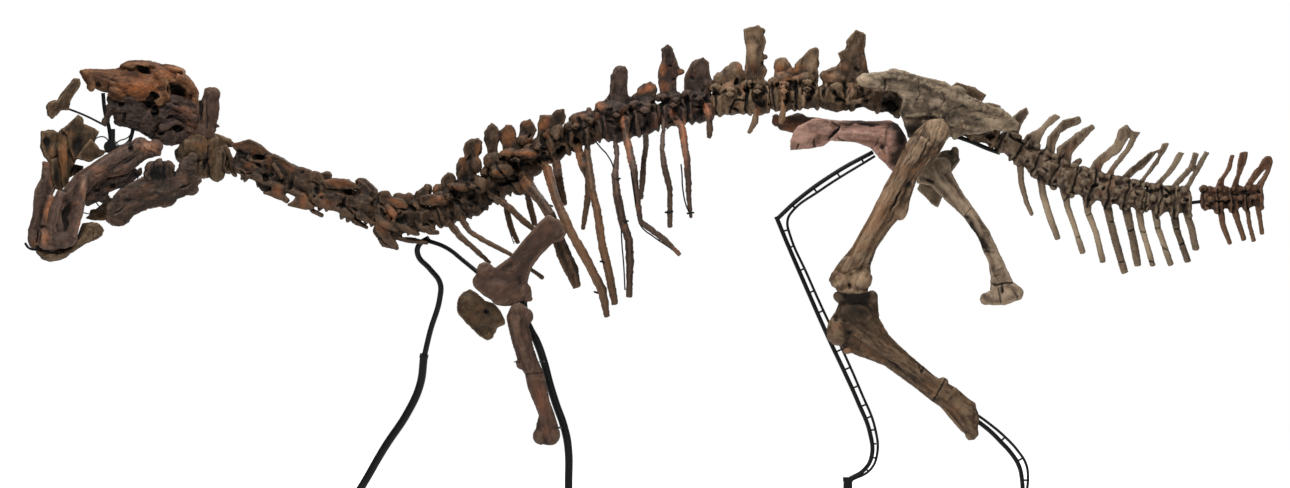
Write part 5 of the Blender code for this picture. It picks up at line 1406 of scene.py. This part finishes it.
limb("scapula_left", {
    "tone": "plum", "lean": 42, "relief": (5, 3.5, 2, 1),
    "knobs": [
        (486, 271, 368, 10, 9, 18, 30), (500, 289, 362, 24, 13, 18, 10), (524, 291, 360, 8, 10, 20, -20),
        (554, 230, 360, 11, 12, 16, 30), (506, 300, 360, 15, 6, 18), (480, 282, 360, 8, 9, 16),
        (527, 298, 360, 6, 4, 14, 10),
    ],
    "spars": [([(508, 276, 18, 362), (530, 250, 17, 362), (553, 228, 17, 358)], 0.35)],
    "dents": [(508, 266, 12, 4, 6, -42), (519, 280, 4, 8, 5)],
    "bleach": [(496, 284, 16, 6, 0.16, 10), (484, 270, 7, 4, 0.22), (519, 296, 12, 5, 0.15)],
    "tint": [
        (500, 290, 18, 7, 0.2), (487, 274, 8, 5, 0.2), (548, 228, 12, 6, 0.35, -45), (515, 296, 12, 4, 0.3),
    ],
    "stain": [
        (550, 244, 14, 5, 0.3, -42), (531, 284, 4, 10, 0.3), (508, 306, 10, 3, 0.4), (477, 279, 3, 8, 0.3),
    ],
    "cracks": [([(500, 270), (514, 273), (528, 272)], 0.6, 1.5), ([(510, 270), (512, 256)], 0.5, 1.5)],
})
limb("coracoid_left", {
    "tone": "olive", "lean": 40, "voxel": 3.6, "smooth": 12, "girth": 0.5, "stretch": 0.9,
    "knobs": [
        (486, 311, 306, 6, 6, 8), (468, 303, 325, 10, 11, 16), (475, 318, 325, 10, 7, 14, 35),
        (488, 334, 320, 6, 6, 14), (498, 318, 320, 5, 7, 12), (470, 297, 322, 7, 5, 16, 20),
    ],
    "bleach": [(467, 298, 6, 5, 0.15), (498, 312, 5, 8, 0.12), (480, 324, 10, 5, 0.1)],
    "tint": [(474, 318, 12, 6, 0.3, 35), (480, 308, 8, 6, 0.2)],
    "stain": [
        (478, 314, 26, 26, 0.22), (459, 306, 3, 10, 0.4), (486, 312, 4, 4, 1), (478, 331, 8, 4, 0.5, 30),
        (476, 295, 6, 3, 0.3),
    ],
})
limb("humerus_left", {
    "tone": "plum", "lean": -76, "stretch": 0.25, "relief": (4, 3.5, 2.2, 1),
    "knobs": [
        (518, 311, 385, 9, 9, 30), (527, 316, 380, 7, 8, 30), (521, 364, 380, 5, 6, 22, -20),
        (541, 436, 380, 8, 9, 38), (552, 434, 380, 8, 9, 38), (536, 379, 380, 10, 5.5, 32, 8),
    ],
    "spars": [
        ([(516, 318, 14, 395), (522, 342, 13, 394), (529, 364, 12, 394), (538, 386, 13, 394),
          (545, 410, 12, 394), (547, 430, 15, 398)], 0.5),
    ],
    "dents": [(530, 366, 2, 6, 4, -15), (523, 322, 2, 6, 4), (546, 441, 3, 3, 4)],
    "bleach": [
        (516, 326, 16, 5, 0.4, 80), (544, 432, 10, 5, 0.15), (523, 350, 18, 5, 0.35, 75),
        (526, 308, 6, 5, 0.2),
    ],
    "tint": [(541, 398, 24, 9, 0.8, 75), (546, 432, 9, 8, 0.5), (520, 345, 20, 4, 0.15, 75)],
    "stain": [
        (535, 352, 20, 2.4, 0.35, 75), (531, 316, 4, 8, 0.3), (538, 428, 3, 8, 0.4), (546, 444, 9, 3, 0.5),
    ],
    "cracks": [([(525, 375), (535, 373), (546, 371)], 1, 4)],
})
print("hips and limbs done")

steel = {  # the black paint of the stand
    "dark": (0.0016, 0.0016, 0.0015),
    "light": (0.004, 0.004, 0.0036),
    "bare": (0.02, 0.017, 0.014),
    "clouds": 9.0,  # waves per metre
    "rubs": 60.0,
    "peel": 420.0,
    "bump": (0.12, 0.0003),
    "specular": 0.12,
    "sharpFrom": 40,  # degrees
}


def blackSteel():
    material = bpy.data.materials.new("black_steel")
    graph = Graph(material)
    cloud = graph.cloudy(steel["clouds"], 4.0)
    peel = graph.cloudy(steel["peel"], 2.0)
    rub = graph.cloudy(steel["rubs"], 6.0, 0.7)
    worn = rub.over(0.62, 0.74)
    colour = graph.mix(cloud.over(0.35, 0.7), steel["dark"], steel["light"])
    colour = graph.mix(worn * 0.3, colour, steel["bare"])
    bump = graph.node("ShaderNodeBump", {}, *steel["bump"], Height=peel * 0.3 + rub * 0.2)
    rough = 0.42 + cloud * 0.14 + worn * 0.2
    graph.finish(Base_Color=colour, Roughness=rough, Normal=bump, Specular_IOR_Level=steel["specular"])
    return material


steelPaint = blackSteel()


def tube(bm, path, radius, turn=0.0):  # round bar through (across, down, side) or places in metres
    curve = bpy.data.curves.new("bar", "CURVE")
    curve.dimensions = "3D"
    curve.bevel_depth, curve.bevel_resolution = radius, 4
    curve.use_fill_caps, curve.resolution_u = True, 8
    spline = curve.splines.new("BEZIER")
    spline.bezier_points.add(len(path) - 1)
    for point, spot in zip(spline.bezier_points, path):
        point.co = spot if isinstance(spot, Vector) else place(*spot, turn)
        point.handle_left_type = point.handle_right_type = "AUTO"
    holder = bpy.data.objects.new("bar", curve)
    scene.collection.objects.link(holder)
    swept = bpy.data.meshes.new_from_object(holder.evaluated_get(bpy.context.evaluated_depsgraph_get()))
    bm.from_mesh(swept)
    bpy.data.objects.remove(holder)
    bpy.data.meshes.remove(swept)


def atSide(side, *spots):  # a path at one distance from the middle
    return [(across, down, side) for across, down in spots]


def nearest(path, spot):  # the point of a path that lies closest to a drawn spot
    best = None
    for before, after in zip(path, path[1:]):
        stepX, stepY = after[0] - before[0], after[1] - before[1]
        part = ((spot[0] - before[0]) * stepX + (spot[1] - before[1]) * stepY) / (stepX**2 + stepY**2)
        part = min(max(part, 0), 1)
        point = tuple(a + (b - a) * part for a, b in zip(before, after))
        far = math.hypot(point[0] - spot[0], point[1] - spot[1])
        if best is None or far < best[0]:
            best = far, point
    return best[1]


footPlate = {  # metres
    "radius": 0.083, "height": 0.012, "bevel": 0.0025,
    "bolts": 4, "boltReach": 0.062, "bolt": 0.008, "boltHeight": 0.007, "boltRise": 0.008, "boltTaper": 0.9,
}


def floorPlate(bm, across, down, side):  # round plate under a post, screwed to the floor
    foot = place(across, down, side)
    foot.z = footPlate["height"] / 2
    disc = bmesh.ops.create_cone(
        bm, cap_ends=True, segments=56, radius1=footPlate["radius"], radius2=footPlate["radius"],
        depth=footPlate["height"], matrix=Matrix.Translation(foot),
    )
    rim = [
        edge for edge in bm.edges
        if all(corner in disc["verts"] for corner in edge.verts) and edge.is_manifold
        and any(len(face.verts) > 4 for face in edge.link_faces)
    ]
    bmesh.ops.bevel(
        bm, geom=rim, offset=footPlate["bevel"], affect="EDGES", segments=2, profile=0.5, material=-1,
    )
    bolt = footPlate["bolt"]
    for index in range(footPlate["bolts"]):
        spoke = Vector((footPlate["boltReach"], 0, footPlate["boltRise"]))
        turned = Matrix.Rotation(math.pi * (0.25 + index / 2), 3, "Z") @ spoke
        bmesh.ops.create_cone(
            bm, cap_ends=True, segments=6, radius1=bolt, radius2=bolt * footPlate["boltTaper"],
            depth=footPlate["boltHeight"], matrix=Matrix.Translation(foot + turned),
        )
    return foot


def steelPiece(name, bm, node):
    data = bpy.data.meshes.new(name)
    bmesh.ops.recalc_face_normals(bm, faces=bm.faces)
    bm.to_mesh(data)
    bm.free()
    data.polygons.foreach_set("use_smooth", [True] * len(data.polygons))
    data.set_sharp_from_angle(angle=math.radians(steel["sharpFrom"]))
    shape = bpy.data.objects.new(name, data)
    scene.collection.objects.link(shape)
    data.materials.append(steelPaint)
    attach(shape, "root")
    if node:
        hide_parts(node)


frontStand = {  # radii in metres
    "post": 0.0135, "sleeve": 0.0195, "collar": 0.0022, "branch": 0.0105, "arm": 0.019, "clip": 0.0025,
}
bm = bmesh.new()
post = [
    (429, 238, 0.0), (419, 245, -0.01), (418, 255, -0.03), (430, 269, -0.06), (440, 283, -0.09),
    (440, 297, -0.11), (430, 332, -0.17), (422, 367, -0.22),
]
sleeve = [
    (424, 356, -0.205), (420, 385, -0.25), (408, 412, -0.27), (385, 447, -0.29), (361, 488, -0.3),
    (350, 505, -0.3),
]
tube(bm, post, frontStand["post"])
foot = floorPlate(bm, 350, 505, -0.3)
tube(bm, [*(place(*spot) for spot in sleeve), foot], frontStand["sleeve"])
tube(bm, [(424.3, 354.5, -0.203), (423.6, 358, -0.208)], frontStand["sleeve"] + frontStand["collar"])
tube(bm, [(426, 240, 0.0), (445, 247, 0.08), (465, 262, 0.22), (482, 276, 0.31)], frontStand["branch"])
steelPiece("stand_front_right_bars", bm, "stand_front_right")

bm = bmesh.new()
arm = [
    (523, 298, 0.33), (524, 310, 0.31),
    *atSide(0.3, (526, 320), (531, 331), (536.5, 341), (544, 362), (549.5, 383), (556, 404)),
    (563.5, 425, 0.31), (568, 446, 0.315), (568.6, 488, 0.32),
]
foot = floorPlate(bm, 569, 500, 0.32)
tube(bm, [*(place(*spot) for spot in arm), foot], frontStand["arm"])
for across, down in ((516, 361), (541, 361), (558, 427)):  # clips that hold the arm bone
    clip = [(across, down, 0.36), (across + 3, down + 1, 0.41), (across - 2, down + 1, 0.425)]
    tube(bm, clip, frontStand["clip"])
steelPiece("stand_front_left_bars", bm, "stand_front_left")

ladder = {  # radii in metres
    "rail": 0.0106, "thinRail": 0.0064, "rung": 0.0046,
    "sleeve": 0.0225, "collar": 0.003, "collarLength": 0.022,
}


def ladderPiece(name, node, thick, thin, rungs, sleeve, foot):  # thick is one course of bar or more
    bm = bmesh.new()
    for course in thick:
        tube(bm, course, ladder["rail"])
    tube(bm, thin, ladder["thinRail"])
    for rung in rungs:
        first = min((nearest(course, rung) for course in thick), key=lambda at: math.dist(at[:2], rung))
        tube(bm, [first, nearest(thin, rung)], ladder["rung"])
    top = place(*sleeve)
    tube(bm, [top, floorPlate(bm, *foot)], ladder["sleeve"])
    tube(bm, [top, top - Vector((0, 0, ladder["collarLength"]))], ladder["sleeve"] + ladder["collar"])
    steelPiece(name, bm, node)


ladderPiece(
    "stand_hind_right_ladder", "stand_hind_right",
    [
        atSide(-0.18, (873, 152), (840, 170), (800, 198), (775.8, 220.2)),
        [
            *atSide(-0.18, (776.2, 216.5), (785, 238), (800, 273), (829, 339), (845, 373), (858, 402)),
            (870, 433, -0.185), (871.5, 457, -0.19), (864, 470, -0.2), (849, 479, -0.2),
        ],
    ],
    [
        *atSide(
            -0.18, (875, 156), (820, 190.5), (791, 213), (787.5, 221), (790, 235), (807, 274), (824, 312),
            (843, 351), (861, 392),
        ),
        (875, 428, -0.185), (877, 455, -0.19), (870, 470, -0.2), (852, 480, -0.2),
    ],
    [
        (862, 160), (838, 174), (815, 190), (795, 208), (786, 230), (791, 247), (801, 270), (811, 292),
        (820, 312), (829, 331), (838, 351), (844, 370), (853, 388), (862, 406), (867, 418), (870, 430),
        (873, 444), (873, 457), (867, 469),
    ],
    (848, 477, -0.2), (847, 500, -0.2),
)
ladderPiece(
    "stand_hind_left_ladder", "stand_hind_left",
    [atSide(
        0.2, (968, 414), (978, 421.5), (990, 431), (1001, 442), (1011, 453), (1019, 466), (1022, 480),
        (1022.8, 505),
    )],
    atSide(
        0.2, (968, 409), (978, 415.5), (991, 425), (1004, 436), (1018, 451), (1026, 464), (1028, 477),
        (1025, 502),
    ),
    [(976, 417), (1003, 439), (1021, 459), (1026, 480)],
    (1023, 492, 0.2), (1023, 510, 0.2),
)

innerBars = {"tail": 0.0085, "hip": 0.0105, "hipFront": 0.009}
bm = bmesh.new()
tube(bm, atSide(0, (1189, 203), (1206, 201)), innerBars["tail"])
steelPiece("tail_rod", bm, "stand_tail_rod")
bm = bmesh.new()
tube(bm, atSide(0, (950, 134), (961, 138), (972, 142), (986, 148), (1000, 153)), innerBars["hip"])
tube(bm, atSide(0, (812, 99), (822, 101), (834, 104)), innerBars["hipFront"])
steelPiece("hip_bar", bm, "stand_hip_bar")

headBars = {
    "paths": [  # radius and the places that each bar goes through
        (0.0095, atSide(0.02, (103, 93), (105, 112), (109, 128), (111, 146))),
        (0.0095, atSide(0.02, (133, 122), (132, 134), (127, 144), (112, 148))),
        (0.006, atSide(0.02, (111, 150), (104, 152), (92, 156), (82, 158))),
        (0.003, [(110, 146, 0.04), (106, 138, 0.04), (99, 137, 0.04), (93, 141, 0.03)]),
        (0.003, [(114, 145, 0.04), (119, 141, 0.04), (127, 138, 0.03), (131, 134, 0.02)]),
        (0.005, [(66, 108, 0.0), (84, 115, 0.01), (106, 126, 0.02)]),
        (0.015, atSide(0.03, (112, 129), (112, 151))),
        (0.003, [(112, 150, 0.03), (126, 166, 0.05), (138, 178, 0.06), (126, 184, 0.06), (114, 196, 0.07)]),
        (0.0028, atSide(0.05, (80, 212), (94, 215))),
        (0.0028, [(84, 203, 0.05), (92, 200, 0.05), (99, 206, 0.06), (104, 212, 0.06)]),
        (0.006, [(25, 243, -0.03), (29, 248, -0.02), (37, 250, -0.02)]),
    ],
    "hub": (111, 147, 0.02),
    "hubFront": 0.034,
    "hubBack": 0.03,
    "hubLength": 0.05,
}
bm = bmesh.new()
for radius, path in headBars["paths"]:
    tube(bm, path, radius, headTurn)
bmesh.ops.create_cone(
    bm, cap_ends=True, segments=24, radius1=headBars["hubFront"], radius2=headBars["hubBack"],
    depth=headBars["hubLength"],
    matrix=Matrix.Translation(place(*headBars["hub"], headTurn)) @ Matrix.Rotation(math.pi / 2, 4, "X"),
)
steelPiece("head_armature", bm, "stand_head")

wires = {"thick": 0.0035, "thin": 0.0022, "band": 0.005, "bandIn": 0.012, "bandOut": 0.01}
bm = bmesh.new()
for path in (
    [(596, 142, 0.03), (601, 148, 0.12), (608, 156, 0.21), (613, 166, 0.25), (615, 178, 0.27)],
    [(681, 164, 0.285), (682, 174, 0.285), (682.5, 186, 0.28), (686, 205, 0.268), (690, 214, 0.262)],
    [(621, 222, 0.335), (622, 245, 0.33), (623.5, 262, 0.32), (625, 290, 0.305)],
    [
        (631, 172, 0.36), (634, 193, 0.375), (637, 212, 0.368), (641, 226, 0.362), (654, 237, 0.352),
        (668, 246.5, 0.342), (679, 254, 0.335),
    ],
):
    tube(bm, path, wires["thick"])
for path in (
    [(504, 210, -0.23), (508, 226, -0.26), (514, 244, -0.28)],
    [(509, 208, -0.23), (513, 225, -0.26), (519, 242, -0.28)],
    *(
        atSide(-0.25, (504.5 + step * 1.8, 214 + step * 5.6), (510 + step * 1.7, 213 + step * 5.4))
        for step in range(6)
    ),
):
    tube(bm, path, wires["thin"])
for across, down, side, wide, lean in (  # black bands that clip the wires to the ribs
    (616.5, 179, 0.29, 7, -8), (624, 221, 0.333, 8, 0), (604, 262, 0.327, 7, 10), (598, 293, 0.28, 7, 18),
    (669, 212, 0.272, 7, -6), (549, 205, 0.22, 7, 20), (690.5, 213, 0.262, 6, -8),
):
    reach = wide / 2
    rise = math.tan(math.radians(lean)) * reach
    inside, outside = side - wires["bandIn"], side + wires["bandOut"]
    tube(bm, [
        (across - reach, down - rise, inside), (across - reach * 0.5, down - rise * 0.5, outside),
        (across + reach * 0.5, down + rise * 0.5, outside), (across + reach, down + rise, inside),
    ], wires["band"])
steelPiece("rib_wires", bm, None)
print("stand done")

studio = {
    "floorReach": 7.5,  # metres to the rim of the floor, which fades out before it
    "fadeFrom": 3.0,
    "fadeTo": 0.97,  # share of the reach
    "paper": (0.93, 0.93, 0.93),
    "around": 0.3,  # strength of the light from all round, and of the white behind the object
    "behind": 1.0,
    "lights": {  # watts, place and size of each in metres
        "key": (900, (-1.8, -5.5, 7.6), 2.0),
        "fill": (110, (5, -8, 3), 4),
        "top": (420, (0, 0.5, 7), 4),
        "rear": (500, (2, 8, 5), 4),
    },
    "lightsFace": (0, 0, 1.3),
}
bm = bmesh.new()
bmesh.ops.create_circle(bm, cap_ends=True, segments=64, radius=studio["floorReach"])
data = bpy.data.meshes.new("studio_floor")
bm.to_mesh(data)
bm.free()
floor = bpy.data.objects.new("studio_floor", data)
scene.collection.objects.link(floor)
paper = bpy.data.materials.new("paper")
graph = Graph(paper)
fromMiddle = graph.node("ShaderNodeVectorMath", {"operation": "LENGTH"}, graph.objectPlace, out=1)
shown = 1 - fromMiddle.over(studio["fadeFrom"], studio["floorReach"] * studio["fadeTo"])
graph.finish(Base_Color=(*studio["paper"], 1), Roughness=0.9, Alpha=shown)
floor.data.materials.append(paper)

world = bpy.data.worlds.new("studio")
scene.world = world
graph = Graph(world)
white = (1, 1, 1, 1)
isSeen = graph.node("ShaderNodeLightPath", {})
around = graph.node("ShaderNodeBackground", {}, white, studio["around"])  # lights the object
plain = graph.node("ShaderNodeBackground", {}, white, studio["behind"])  # seen behind it
graph.show(graph.node("ShaderNodeMixShader", {}, isSeen, around, plain), "ShaderNodeOutputWorld")
scene.view_settings.view_transform = "Standard"

for name, (power, at, size) in studio["lights"].items():
    lamp = bpy.data.lights.new(name, "AREA")
    lamp.energy, lamp.size = power, size
    light = bpy.data.objects.new(name, lamp)
    light.location = at
    light.rotation_euler = (Vector(studio["lightsFace"]) - Vector(at)).to_track_quat("-Z", "Y").to_euler()
    scene.collection.objects.link(light)

view = {"sensor": 36.0, "frameAcross": 1290}
camera = bpy.data.cameras.new("camera")
camera.sensor_width = view["sensor"]
camera.lens = view["sensor"] * drawing["eyeAway"] / (view["frameAcross"] * drawing["unit"])
eye = bpy.data.objects.new("camera", camera)
eye.location = (eyeX, drawing["middleSide"] - drawing["eyeAway"], eyeZ)
eye.rotation_euler = (math.radians(90), 0, 0)
scene.collection.objects.link(eye)
scene.camera = eye

print("stage done")
